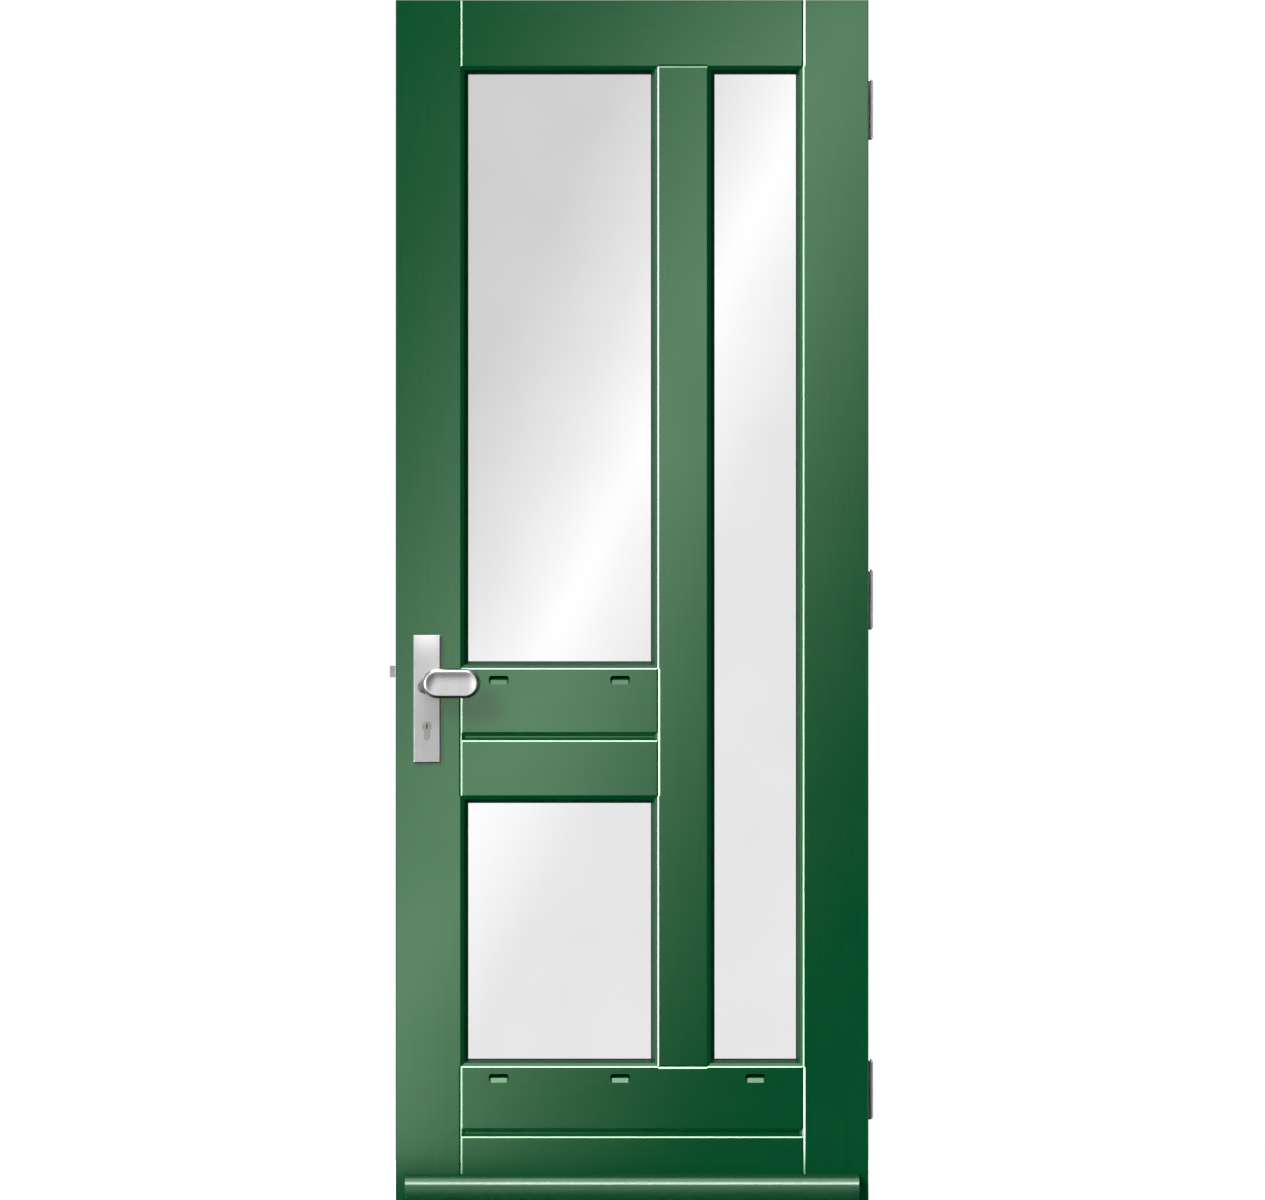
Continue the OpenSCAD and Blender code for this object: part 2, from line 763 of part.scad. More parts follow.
// Four beads with mitred corners
module beads(l) {
    edge = [[-glass_gap, y_bead], [lip_u, y_bead], [lip_u, leaf_t - bead_bevel], [lip_u - bead_bevel, leaf_t],
        [-glass_gap, leaf_t]];
    x0 = l[0] - glass_gap;
    x1 = l[1] + glass_gap;
    z0 = l[2] - glass_gap;
    z1 = l[3] + glass_gap;
    across = lip_u + glass_gap;
    m = mitre_gap;
    color("darkgreen") {
        intersection() {
            translate([0, 0, l[2]]) along_x(x0, x1) polygon([for (p = edge) [p.y, p.x]]);
            along_y(y_bead, leaf_t) polygon([[x0 + m, z0], [x1 - m, z0], [x1 - across - m, z0 + across],
                [x0 + across + m, z0 + across]]);
        }
        intersection() {
            translate([0, 0, l[3]]) along_x(x0, x1) polygon([for (p = edge) [p.y, -p.x]]);
            along_y(y_bead, leaf_t) polygon([[x0 + m, z1], [x1 - m, z1], [x1 - across - m, z1 - across],
                [x0 + across + m, z1 - across]]);
        }
        intersection() {
            translate([l[0], 0, z0]) linear_extrude(z1 - z0) polygon(edge);
            along_y(y_bead, leaf_t) polygon([[x0, z0], [x0, z1], [x0 + across, z1 - across],
                [x0 + across, z0 + across]]);
        }
        intersection() {
            translate([l[1], 0, z0]) linear_extrude(z1 - z0) polygon([for (p = edge) [-p.x, p.y]]);
            along_y(y_bead, leaf_t) polygon([[x1, z0], [x1, z1], [x1 - across, z1 - across],
                [x1 - across, z0 + across]]);
        }
    }
}

module upper_outer_pane() outer_pane(upper_light);
module upper_inner_pane() inner_pane(upper_light);
module upper_spacer() spacer(upper_light);
module upper_gasket() gasket(upper_light);
module upper_tape() tape(upper_light);
module upper_beads() beads(upper_light);
module lower_outer_pane() outer_pane(lower_light);
module lower_inner_pane() inner_pane(lower_light);
module lower_spacer() spacer(lower_light);
module lower_gasket() gasket(lower_light);
module lower_tape() tape(lower_light);
module lower_beads() beads(lower_light);
module side_outer_pane() outer_pane(side_light);
module side_inner_pane() inner_pane(side_light);
module side_spacer() spacer(side_light);
module side_gasket() gasket(side_light);
module side_tape() tape(side_light);
module side_beads() beads(side_light);

// Blocks that carry the glass on the rebates
module blocks_under(l, inset) {
    for (x = [l[0] + inset, l[1] - inset]) {
        block([x - block_l / 2, y_glass, l[2] - glass_gap], [x + block_l / 2, y_tape, l[2]]);
    }
}

module setting_blocks() {
    color("dimgray") {
        blocks_under(upper_light, block_inset);
        blocks_under(lower_light, block_inset);
        blocks_under(side_light, side_block_inset);
    }
}

// Door furniture

// Plate with a bevelled face towards -Y, its back on y = 0
module bevelled_plate(t) {
    side = [[0, 0], [0, -t + plate_bevel], [plate_bevel, -t]];
    intersection() {
        translate([x_spin - plate_w / 2, 0, plate_z]) linear_extrude(plate_h)
            polygon(concat(side, [for (i = [2:-1:0]) [plate_w - side[i].x, side[i].y]]));
        translate([0, 0, plate_z]) along_x(x_spin - plate_w, x_spin + plate_w)
            polygon(concat([for (p = side) [p.y, p.x]], [for (i = [2:-1:0]) [side[i].y, plate_h - side[i].x]]));
    }
}

module outer_plate() {
    color("silver") difference() {
        union() {
            bevelled_plate(plate_t);
            for (z = bolt_zs) {
                rod_y(x_spin, -eps, plate_boss_l, z, plate_boss_r);
            }
        }
        translate([x_spin, 0, z_cyl]) along_y(-plate_t - eps, eps) euro_profile(hole_gap);
        rod_y(x_spin, -plate_t - eps, eps, spindle_z, stud_r + hole_gap);
        rod_y(x_spin, -plate_t / 3, eps, spindle_z, stud_r * 1.7 + hole_gap);
        for (z = bolt_zs) {
            rod_y(x_spin, -plate_t / 2, plate_boss_l + eps, z, plate_bolt_r + hole_gap);
        }
    }
}

// Half section of the pad: a rounded back, a soft border and a dished face
pad_r = pad_h / 2;
pad_face_r = pad_r - pad_border;
pad_half = pad_t / 2;
pad_back_r = pad_r * 0.6;
pad_outline = concat(
    arc([pad_back_r, pad_half], pad_r - pad_back_r, pad_half, -90, 0, 6),
    arc([pad_face_r, pad_half], pad_border, pad_half, 15, 90, 5),
    [for (i = [4:-1:0]) [pad_face_r * i / 5, pad_t - pad_dish * (1 - pow(i / 5, 2))]]
);

// Oval pad round its own middle, its back on z = 0
module pad() {
    run = pad_w / 2 - pad_r;
    half = concat([[0, 0]], pad_outline);
    other = [for (i = [len(pad_outline) - 2:-1:0]) [-pad_outline[i].x, pad_outline[i].y]];
    translate([run, 0, 0]) rotate([0, 0, -90]) rotate_extrude(angle = 180) polygon(half);
    translate([-run, 0, 0]) rotate([0, 0, 90]) rotate_extrude(angle = 180) polygon(half);
    along_x(-run, run) polygon(concat(pad_outline, other));
}

// Fixed knob: a round neck that leans away from the edge of the leaf, and the pad
module knob() {
    reach = pad_offset - pad_w / 2 + pad_r;
    lean = norm([reach, pad_rise]);
    neck_l = norm([lean, pad_lift]);
    color("silver") difference() {
        translate([x_spin, -plate_t, spindle_z]) rotate([90, 0, 0]) {
            difference() {
                rotate([0, atan2(lean, pad_lift), atan2(pad_rise, reach)]) translate([0, 0, -neck_r])
                    cylinder(r1 = neck_r + 1, r2 = neck_r - 2, h = neck_l + neck_r + 2);
                translate([-pad_w, -pad_w, -pad_w]) cube([2 * pad_w, 2 * pad_w, pad_w]);
            }
            translate([pad_offset, pad_rise, pad_lift]) pad();
        }
        rod_y(x_spin, -plate_t - pad_lift * 0.4, eps, spindle_z, stud_r + hole_gap);
    }
}

module knob_stud() {
    color("gray") {
        rod_y(x_spin, -plate_t - pad_lift * 0.4, -plate_t / 3, spindle_z, stud_r);
        rod_y(x_spin, -plate_t / 3, -plate_t / 3 + 3, spindle_z, stud_r * 1.7);
    }
}

module inner_plate() {
    y1 = leaf_t + inner_plate_t;
    color("silver") difference() {
        translate([0, leaf_t, 0]) mirror([0, 1, 0]) bevelled_plate(inner_plate_t);
        translate([x_spin, 0, z_cyl]) along_y(leaf_t - eps, y1 + eps) euro_profile(hole_gap);
        rod_y(x_spin, leaf_t - eps, y1 + eps, spindle_z, lever_r + run_gap);
        rod_y(x_spin, leaf_t - eps, lever_y0 + lever_flange_t + hole_gap, spindle_z, lever_flange_r + run_gap);
        for (z = bolt_zs) {
            rod_y(x_spin, leaf_t - eps, y1 + eps, z, plate_bolt_r + hole_gap);
            translate([x_spin, y1 - 3, z]) rotate([-90, 0, 0])
                cylinder(r1 = plate_bolt_r + hole_gap, r2 = plate_bolt_r * 2 + hole_gap, h = 3);
        }
    }
}

// Lever with a bent neck, a round end and a flange behind its plate
module lever() {
    color("silver") difference() {
        union() {
            rod_y(x_spin, lever_y0, lever_bend_y, spindle_z, lever_r);
            rod_y(x_spin, lever_y0, lever_y0 + lever_flange_t, spindle_z, lever_flange_r);
            translate([x_spin + lever_bend, lever_bend_y, spindle_z]) rotate([0, 0, 90])
                rotate_extrude(angle = 90) translate([lever_bend, 0]) circle(r = lever_r);
            rod_x(x_spin + lever_bend, x_spin + lever_bend + lever_grip, lever_bend_y + lever_bend, spindle_z, lever_r);
            translate([x_spin + lever_bend + lever_grip, lever_bend_y + lever_bend, spindle_z]) sphere(r = lever_r);
        }
        square_bar(lever_y0 - eps, lever_bend_y - 4, hole_gap);
    }
}

// Square bar on the spindle axis
module square_bar(y0, y1, extra) {
    half = spindle_s / 2 + extra;
    block([x_spin - half, y0, spindle_z - half], [x_spin + half, y1, spindle_z + half]);
}

module spindle() {
    color("gray") square_bar(case_y0, lever_bend_y - 6, 0);
}

module plate_bolts() {
    y1 = leaf_t + inner_plate_t;
    color("gray") for (z = bolt_zs) {
        rod_y(x_spin, 0, y1 - 1, z, plate_bolt_r);
        translate([x_spin, y1 - 3, z]) rotate([-90, 0, 0])
            cylinder(r1 = plate_bolt_r, r2 = plate_bolt_r * 2, h = 3);
    }
}

// Lock

// Openings of the latch, the dead bolt and the fixing screw at the edge of the leaf
module edge_openings(x0, x1) {
    half = bolt_t / 2 + slide_gap;
    block([x0, y_mid - half, latch_low - slide_gap], [x1, y_mid + half, latch_low + latch_h + slide_gap]);
    block([x0, y_mid - half, dead_bolt_z - slide_gap], [x1, y_mid + half, dead_bolt_z + dead_bolt_h + slide_gap]);
    rod_x(x0, x1, y_mid, cyl_screw_z, cyl_screw_r + hole_gap);
}

// Openings of the follower and the cylinder in the sides of the case
module side_openings(y0, y1) {
    rod_y(x_spin, y0, y1, spindle_z, follower_boss_r + run_gap);
    translate([x_spin, 0, z_cyl]) along_y(y0, y1) euro_profile(pocket_gap);
}

module lock_case() {
    color("slategray") difference() {
        block([case_x0, case_y0, case_z0], [case_x1, case_y1 - case_wall, case_z1]);
        block([case_x0 + case_wall, case_y0 + case_wall, case_z0 + case_wall],
            [case_x1 - case_wall, case_y1 + eps, case_z1 - case_wall]);
        edge_openings(case_x0 - eps, case_x0 + case_wall + eps);
        side_openings(case_y0 - eps, case_y0 + case_wall + eps);
    }
}

module lock_cover() {
    color("slategray") difference() {
        block([case_x0, case_y1 - case_wall, case_z0], [case_x1, case_y1, case_z1]);
        side_openings(case_y1 - case_wall - eps, case_y1 + eps);
    }
}

module forend() {
    color("silver") difference() {
        block([x_edge, y_mid - forend_w / 2, forend_z0], [case_x0, y_mid + forend_w / 2, forend_z1]);
        edge_openings(x_edge - eps, case_x0 + eps);
        for (z = forend_screw_zs) {
            edge_sink(z, forend_screw_r, hole_gap);
        }
        edge_sink(cyl_screw_z, cyl_screw_r, hole_gap);
    }
}

// Countersunk hole or head in the forend
module edge_sink(z, r, extra) {
    rod_x(x_edge - extra, case_x0 + extra, y_mid, z, r + extra);
    translate([x_edge, y_mid, z]) rotate([0, 90, 0])
        cylinder(r1 = r * 1.9 + extra, r2 = r + extra, h = forend_t * 0.7);
}

module forend_screws() {
    color("gray") for (z = forend_screw_zs) {
        edge_sink(z, forend_screw_r, 0);
        rod_x(x_edge + forend_t / 2, x_edge + forend_reach / 2, y_mid, z, forend_screw_r);
    }
}

// Latch: a bevelled head, two cheeks past the follower arm, and a cross bar that the arm pushes
module latch_bolt() {
    half = bolt_t / 2;
    low = latch_low;
    color("silver") {
        translate([0, 0, low]) linear_extrude(latch_h) polygon([[x_edge - latch_travel, y_mid + half],
            [latch_body_x, y_mid + half], [latch_body_x, y_mid - half], [x_edge - 1, y_mid - half],
            [x_edge - latch_travel, y_mid + half - 2]]);
        for (y = [y_mid - half, y_mid + half - cheek_t]) {
            block([latch_body_x - eps, y, low], [cross_x + cross_t, y + cheek_t, low + cross_h]);
        }
        block([cross_x, y_mid - half, low], [cross_x + cross_t, y_mid + half, low + cross_h]);
    }
}

// Coil spring between the cross bar and the back of the case
spring_r = 2.6;
wire_r = 0.5;
spring_turns = 5;
spring_steps = 16;
spring_sides = 6;
spring_x0 = cross_x + cross_t + wire_r;
spring_x1 = case_x1 - case_wall - wire_r;

function coil_point(i, k) =
    let (a = 360 * i / spring_steps, b = 360 * k / spring_sides, r = spring_r + wire_r * cos(b))
    [spring_x0 + (spring_x1 - spring_x0) * i / (spring_turns * spring_steps) + wire_r * sin(b),
        y_mid + r * cos(a), latch_low + cross_h / 2 + r * sin(a)];

module latch_spring() {
    n = spring_turns * spring_steps;
    points = [for (i = [0:n]) for (k = [0:spring_sides - 1]) coil_point(i, k)];
    sides = [for (i = [0:n - 1]) for (k = [0:spring_sides - 1])
        [i * spring_sides + k, i * spring_sides + (k + 1) % spring_sides,
            (i + 1) * spring_sides + (k + 1) % spring_sides, (i + 1) * spring_sides + k]];
    start = [[for (k = [spring_sides - 1:-1:0]) k]];
    end = [[for (k = [0:spring_sides - 1]) n * spring_sides + k]];
    color("gray") polyhedron(points, concat(sides, start, end), convexity = 10);
}

// Follower: a disc with two bearings, a square hole and an arm
module follower() {
    color("gray") difference() {
        union() {
            rod_y(x_spin, case_y0 + case_wall + slide_gap, case_y1 - case_wall - slide_gap, spindle_z, follower_r);
            rod_y(x_spin, case_y0, case_y1, spindle_z, follower_boss_r);
            block([x_spin - arm_w / 2, y_mid - arm_t / 2, spindle_z],
                [x_spin + arm_w / 2, y_mid + arm_t / 2, spindle_z + arm_reach]);
        }
        square_bar(case_y0 - eps, case_y1 + eps, hole_gap);
    }
}

// Dead bolt: a solid head and a thinner tail above the cam
module dead_bolt() {
    half = bolt_t / 2;
    color("silver") {
        block([x_edge, y_mid - half, dead_bolt_z], [x_edge + dead_bolt_l, y_mid + half, dead_bolt_z + dead_bolt_h]);
        block([x_edge + dead_bolt_l - eps, y_mid - half / 2, dead_bolt_z + dead_bolt_h / 5],
            [x_spin + arm_w, y_mid + half / 2, dead_bolt_z + dead_bolt_h * 0.8]);
    }
}

// Cylinder

module cylinder_body() {
    color("silver") difference() {
        translate([x_spin, 0, z_cyl]) along_y(cyl_y0, cyl_y1) euro_profile(0);
        rod_y(x_spin, cyl_y0 - eps, cyl_y1 + eps, z_cyl, plug_r + run_gap);
        block([x_spin - cyl_r - eps, y_mid - cam_t / 2 - slide_gap, z_cyl - cam_clear],
            [x_spin + cyl_r + eps, y_mid + cam_t / 2 + slide_gap, z_cyl + cyl_r + eps]);
        rod_x(x_spin - cyl_r, x_spin + cyl_r, y_mid, cyl_screw_z, cyl_screw_r + hole_gap);
    }
}

// Round plug with a keyway in its outer end
module outer_plug() {
    color("goldenrod") difference() {
        rod_y(x_spin, cyl_y0, y_mid - cam_t / 2, z_cyl, plug_r);
        keyway(cyl_y0 - eps, cyl_y0 + keyway_l);
    }
}

module inner_plug() {
    color("goldenrod") difference() {
        rod_y(x_spin, y_mid + cam_t / 2, cyl_y1, z_cyl, plug_r);
        keyway(cyl_y1 - keyway_l, cyl_y1 + eps);
    }
}

module keyway(y0, y1) {
    block([x_spin - keyway_w / 2, y0, z_cyl - keyway_h / 2], [x_spin + keyway_w / 2, y1, z_cyl + keyway_h / 2]);
}

// Cam with its nose hanging down
module cylinder_cam() {
    color("gray") {
        rod_y(x_spin, y_mid - cam_t / 2, y_mid + cam_t / 2, z_cyl, cyl_r);
        intersection() {
            rod_y(x_spin, y_mid - cam_t / 2, y_mid + cam_t / 2, z_cyl, cam_r);
            block([x_spin - cyl_slot_w / 2 + 1, y_mid - cam_t, z_cyl - cam_r], [x_spin + cyl_slot_w / 2 - 1, y_mid + cam_t, z_cyl]);
        }
    }
}

module cylinder_screw() {
    color("gray") {
        edge_sink(cyl_screw_z, cyl_screw_r, 0);
        rod_x(x_edge + forend_t / 2, x_spin + cyl_slot_w / 2, y_mid, cyl_screw_z, cyl_screw_r);
    }
}

// Hinges

// Ring of one knuckle
module knuckle_ring(z0, z1) {
    translate([pin_x, pin_y, z0]) difference() {
        cylinder(r = knuckle_r, h = z1 - z0);
        translate([0, 0, -eps]) cylinder(r = pin_r + run_gap, h = z1 - z0 + 2 * eps);
    }
}

// Flat flap between x0 and x1, with tongues to its own knuckles
module flap(z, x0, x1, spans) {
    low = z - hinge_h / 2;
    block([x0, flap_y0, low], [x1, flap_y1, low + hinge_h]);
    for (s = spans) {
        block([x0, flap_y1 - eps, low + s[0]], [x1, pin_y - pin_r, low + s[1]]);
        knuckle_ring(low + s[0], low + s[1]);
    }
}

door_spans = [for (i = [1, 3]) [i * knuckle + ring_t + end_play, (i + 1) * knuckle - end_play]];
frame_spans = [for (i = [0, 2, 4]) [i * knuckle + end_play, (i + 1) * knuckle - end_play]];

module door_flap(z) {
    x1 = leaf_w / 2;
    color("silver") difference() {
        flap(z, x1 - flap_t, x1, door_spans);
        at_holes(z) {
            rod_x(x1 - flap_t - eps, x1 + eps, 0, 0, screw_shank_r + hole_gap);
            sunk_head(x1, 0, 0, screw_head_r + hole_gap, screw_shank_r + hole_gap, sink_d);
        }
    }
}

module frame_flap(z) {
    x0 = leaf_w / 2 + flap_gap;
    color("silver") difference() {
        flap(z, x0, x0 + flap_t, frame_spans);
        at_holes(z) {
            rod_x(x0 - eps, x0 + flap_t + eps, 0, 0, hinge_hole_r);
            translate([x0, 0, 0]) rotate([0, 90, 0]) cylinder(r1 = screw_head_r + hole_gap, r2 = hinge_hole_r, h = sink_d);
        }
    }
}

// Pin with a cap at each end
module hinge_pin(z) {
    low = z - hinge_h / 2;
    color("gray") {
        translate([pin_x, pin_y, low - pin_cap_h]) cylinder(r = pin_r, h = hinge_h + 2 * pin_cap_h);
        translate([pin_x, pin_y, low - pin_cap_h]) cylinder(r1 = pin_cap_r - 1.5, r2 = pin_cap_r, h = pin_cap_h);
        translate([pin_x, pin_y, low + hinge_h]) cylinder(r1 = pin_cap_r, r2 = pin_cap_r - 1.5, h = pin_cap_h);
    }
}

module bottom_door_flap() door_flap(hinge_zs[0]);
module middle_door_flap() door_flap(hinge_zs[1]);
module top_door_flap() door_flap(hinge_zs[2]);
module bottom_frame_flap() frame_flap(hinge_zs[0]);
module middle_frame_flap() frame_flap(hinge_zs[1]);
module top_frame_flap() frame_flap(hinge_zs[2]);
module bottom_pin() hinge_pin(hinge_zs[0]);
module middle_pin() hinge_pin(hinge_zs[1]);
module top_pin() hinge_pin(hinge_zs[2]);

// Rings that carry the door knuckles on the frame knuckles
module hinge_rings() {
    color("goldenrod") for (z = hinge_zs) {
        for (i = [1, 3]) {
            translate([pin_x, pin_y, z - hinge_h / 2 + i * knuckle]) difference() {
                cylinder(r = knuckle_r - 0.5, h = ring_t);
                translate([0, 0, -eps]) cylinder(r = pin_r + run_gap, h = ring_t + 2 * eps);
            }
        }
    }
}

// Screws that hold the door flaps to the stile
module hinge_screws() {
    color("gray") for (z = hinge_zs) {
        at_holes(z) {
            sunk_head(leaf_w / 2, 0, 0, screw_head_r, screw_shank_r, sink_d);
            rod_x(leaf_w / 2 - screw_l, leaf_w / 2 - sink_d / 2, 0, 0, screw_shank_r);
        }
    }
}

at_jamb() lock_stile();
at_jamb() hinge_stile();
at_jamb() top_rail();
at_jamb() lock_rail();
at_jamb() bottom_rail();
at_jamb() mullion();
at_jamb() weather_bar();
at_jamb() upper_outer_pane();
at_jamb() upper_inner_pane();
at_jamb() upper_spacer();
at_jamb() upper_gasket();
at_jamb() upper_tape();
at_jamb() upper_beads();
at_jamb() lower_outer_pane();
at_jamb() lower_inner_pane();
at_jamb() lower_spacer();
at_jamb() lower_gasket();
at_jamb() lower_tape();
at_jamb() lower_beads();
at_jamb() side_outer_pane();
at_jamb() side_inner_pane();
at_jamb() side_spacer();
at_jamb() side_gasket();
at_jamb() side_tape();
at_jamb() side_beads();
at_jamb() setting_blocks();
at_jamb() outer_plate();
at_jamb() knob();
at_jamb() knob_stud();
at_jamb() inner_plate();
at_jamb() lever();
at_jamb() spindle();
at_jamb() plate_bolts();
at_jamb() lock_case();
at_jamb() lock_cover();
at_jamb() forend();
at_jamb() forend_screws();
at_jamb() latch_bolt();
at_jamb() latch_spring();
at_jamb() follower();
at_jamb() dead_bolt();
at_jamb() cylinder_body();
at_jamb() outer_plug();
at_jamb() inner_plug();
at_jamb() cylinder_cam();
at_jamb() cylinder_screw();
at_jamb() bottom_door_flap();
at_jamb() middle_door_flap();
at_jamb() top_door_flap();
at_jamb() bottom_frame_flap();
at_jamb() middle_frame_flap();
at_jamb() top_frame_flap();
at_jamb() bottom_pin();
at_jamb() middle_pin();
at_jamb() top_pin();
at_jamb() hinge_rings();
at_jamb() hinge_screws();
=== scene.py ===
# %% [markdown]
# # A green glazed front door
# The object is the leaf of a timber front door, painted gloss green, with three lights of insulated
# glass, a weather bar at the foot, a silver plate with an oval knob, and three butt hinges.
# Its solids come from a CAD pack. This lesson dresses them: it gives every solid a finish with real
# detail, swaps some solids for softer copies, makes screws with cross recesses, and builds a studio.

import json
import math

import bmesh
import bpy
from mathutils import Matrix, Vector


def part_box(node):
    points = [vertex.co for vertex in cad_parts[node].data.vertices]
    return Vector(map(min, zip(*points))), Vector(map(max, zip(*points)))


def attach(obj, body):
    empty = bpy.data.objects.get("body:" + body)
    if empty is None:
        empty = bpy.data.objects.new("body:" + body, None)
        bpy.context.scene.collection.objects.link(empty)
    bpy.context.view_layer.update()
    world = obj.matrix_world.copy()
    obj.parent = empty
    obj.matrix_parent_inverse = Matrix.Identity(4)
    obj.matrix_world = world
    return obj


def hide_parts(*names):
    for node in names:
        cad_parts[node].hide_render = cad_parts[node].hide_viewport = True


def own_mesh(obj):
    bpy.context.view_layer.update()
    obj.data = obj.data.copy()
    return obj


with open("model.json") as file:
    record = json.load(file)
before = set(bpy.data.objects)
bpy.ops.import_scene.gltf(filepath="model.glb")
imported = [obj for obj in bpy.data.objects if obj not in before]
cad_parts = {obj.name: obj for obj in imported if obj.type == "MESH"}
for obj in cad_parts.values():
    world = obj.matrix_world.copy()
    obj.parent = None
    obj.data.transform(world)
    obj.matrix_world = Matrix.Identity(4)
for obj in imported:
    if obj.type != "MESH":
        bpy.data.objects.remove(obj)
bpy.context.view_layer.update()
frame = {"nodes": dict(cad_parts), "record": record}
solids = frame["nodes"]
scene = bpy.context.scene
leaf_low, leaf_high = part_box("lock_stile")
leaf_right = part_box("hinge_stile")[1].x
leaf_front = leaf_low.y
leaf_back = leaf_high.y
leaf_middle = Vector(((leaf_low.x + leaf_right) / 2, leaf_front, (leaf_low.z + leaf_high.z) / 2))
print("leaf", [round(v, 4) for v in leaf_low], round(leaf_right, 4), round(leaf_high.z, 4))

# %% [markdown]
# ## Tools for finishes
# A finish is a node material with one Principled shader. Patterns read Object coordinates, which here are
# metres in the door's own frame, because every object sits at the origin. A pattern that is stretched in
# one direction becomes brush strokes or the brushing of metal. A few small helpers keep each finish short.

# %% Helpers for patterns
NOISE_LOW, NOISE_HIGH = 0.3, 0.7


def every_way(per_metre):
    """The same fineness along x, y and z."""
    return (per_metre, per_metre, per_metre)


def pattern(tree, per_metre, detail):
    """Soft random values over a surface; per_metre says how fine they are along x, y and z."""
    coordinates = tree.nodes.new("ShaderNodeTexCoord")
    stretch = tree.nodes.new("ShaderNodeMapping")
    stretch.inputs["Scale"].default_value = per_metre
    noise = tree.nodes.new("ShaderNodeTexNoise")
    noise.inputs["Scale"].default_value = 1.0
    noise.inputs["Detail"].default_value = detail
    tree.links.new(coordinates.outputs["Object"], stretch.inputs["Vector"])
    tree.links.new(stretch.outputs["Vector"], noise.inputs["Vector"])
    return noise.outputs["Fac"]


def shade(tree, values, dark, light):
    """A colour between dark and light for each value."""
    ramp = tree.nodes.new("ShaderNodeValToRGB")
    stops = zip(ramp.color_ramp.elements, (NOISE_LOW, NOISE_HIGH), (dark, light))
    for stop, position, colour in stops:
        stop.position = position
        stop.color = (*colour, 1.0)
    tree.links.new(values, ramp.inputs["Fac"])
    return ramp.outputs["Color"]


def spread(tree, values, low, high):
    """Values moved to the range from low to high."""
    node = tree.nodes.new("ShaderNodeMapRange")
    node.inputs["From Min"].default_value = NOISE_LOW
    node.inputs["From Max"].default_value = NOISE_HIGH
    node.inputs["To Min"].default_value = low
    node.inputs["To Max"].default_value = high
    tree.links.new(values, node.inputs["Value"])
    return node.outputs["Result"]


print("patterns use noise from", NOISE_LOW, "to", NOISE_HIGH)


# %% Helpers for finishes
def new_finish(name):
    """A node material with one Principled shader."""
    finish = bpy.data.materials.new(name)
    finish.use_nodes = True
    tree = finish.node_tree
    tree.nodes.clear()
    output = tree.nodes.new("ShaderNodeOutputMaterial")
    shader = tree.nodes.new("ShaderNodeBsdfPrincipled")
    tree.links.new(shader.outputs["BSDF"], output.inputs["Surface"])
    return finish, tree, shader


def relief(tree, shader, *layers):
    """Bump from layers of (values, depth in metres), one on top of the other."""
    below = None
    for values, depth in layers:
        bump = tree.nodes.new("ShaderNodeBump")
        bump.inputs["Strength"].default_value = 1.0
        bump.inputs["Distance"].default_value = depth
        tree.links.new(values, bump.inputs["Height"])
        if below is not None:
            tree.links.new(below, bump.inputs["Normal"])
        below = bump.outputs["Normal"]
    tree.links.new(below, shader.inputs["Normal"])


def dress(finish, *names):
    """Put one finish on CAD nodes; a softer copy made from a node later takes the finish over."""
    for name in names:
        mesh = solids[name].data
        mesh.materials.clear()
        mesh.materials.append(finish)
    print(finish.name, "on", len(names), "solids")


# %% [markdown]
# ## Green gloss paint
# The timber is brushed or sprayed with a deep green gloss paint. Three things show on such paint from
# near by: faint strokes along each member, a fine orange peel, and slow changes of gloss. The strokes run
# up and down on stiles and mullion and sideways on rails, so one recipe is used with several directions.
# The weather bar's shine is softer and whiter than the rest, as the photograph shows it.

# %% Paint for uprights, rails, beads and the weather bar
PAINT_DARK = (0.0006, 0.060, 0.0175)
PAINT_LIGHT = (0.0013, 0.069, 0.0205)
PAINT_SHINE, BAR_SHINE = (0.66, 1.0, 0.68), (0.82, 1.0, 0.83)
PAINT_ROUGH, BAR_ROUGH = (0.09, 0.12), (0.28, 0.32)
STROKES_UPRIGHT = (420.0, 420.0, 6.0)
STROKES_LEVEL = (6.0, 420.0, 420.0)
STROKES_BEAD = every_way(150.0)
PEEL, SLOW_GLOSS = every_way(230.0), every_way(5.0)
STROKE_DETAIL, SOFT_DETAIL = 4.0, 2.0
STROKE_DEPTH, PEEL_DEPTH = 1.5e-6, 1.5e-6


def green_paint(name, strokes, rough=PAINT_ROUGH, shine=PAINT_SHINE):
    """Gloss paint with strokes, orange peel and slow changes of gloss."""
    finish, tree, shader = new_finish(name)
    brush = pattern(tree, strokes, STROKE_DETAIL)
    peel = pattern(tree, PEEL, SOFT_DETAIL)
    slow = pattern(tree, SLOW_GLOSS, SOFT_DETAIL)
    tree.links.new(shade(tree, brush, PAINT_DARK, PAINT_LIGHT), shader.inputs["Base Color"])
    tree.links.new(spread(tree, slow, *rough), shader.inputs["Roughness"])
    shader.inputs["Specular IOR Level"].default_value = 1.0
    shader.inputs["Specular Tint"].default_value = (*shine, 1.0)
    relief(tree, shader, (brush, STROKE_DEPTH), (peel, PEEL_DEPTH))
    return finish


dress(green_paint("green_paint_upright", STROKES_UPRIGHT), "lock_stile", "hinge_stile", "mullion")
dress(green_paint("green_paint_level", STROKES_LEVEL), "top_rail", "lock_rail", "bottom_rail")
dress(green_paint("green_paint_bead", STROKES_BEAD), "upper_beads", "lower_beads", "side_beads")
dress(green_paint("green_paint_bar", STROKES_LEVEL, BAR_ROUGH, BAR_SHINE), "weather_bar")

# %% [markdown]
# ## Glass, spacers and seals
# Each light is a sealed unit of two panes. Glass gets full transmission and a very slight wave, as float
# glass has. Black rubber seals both faces and grey plastic blocks carry the panes: both are dull, with one
# fine grain that serves colour, roughness and relief. The spacer between the panes comes with the metals.

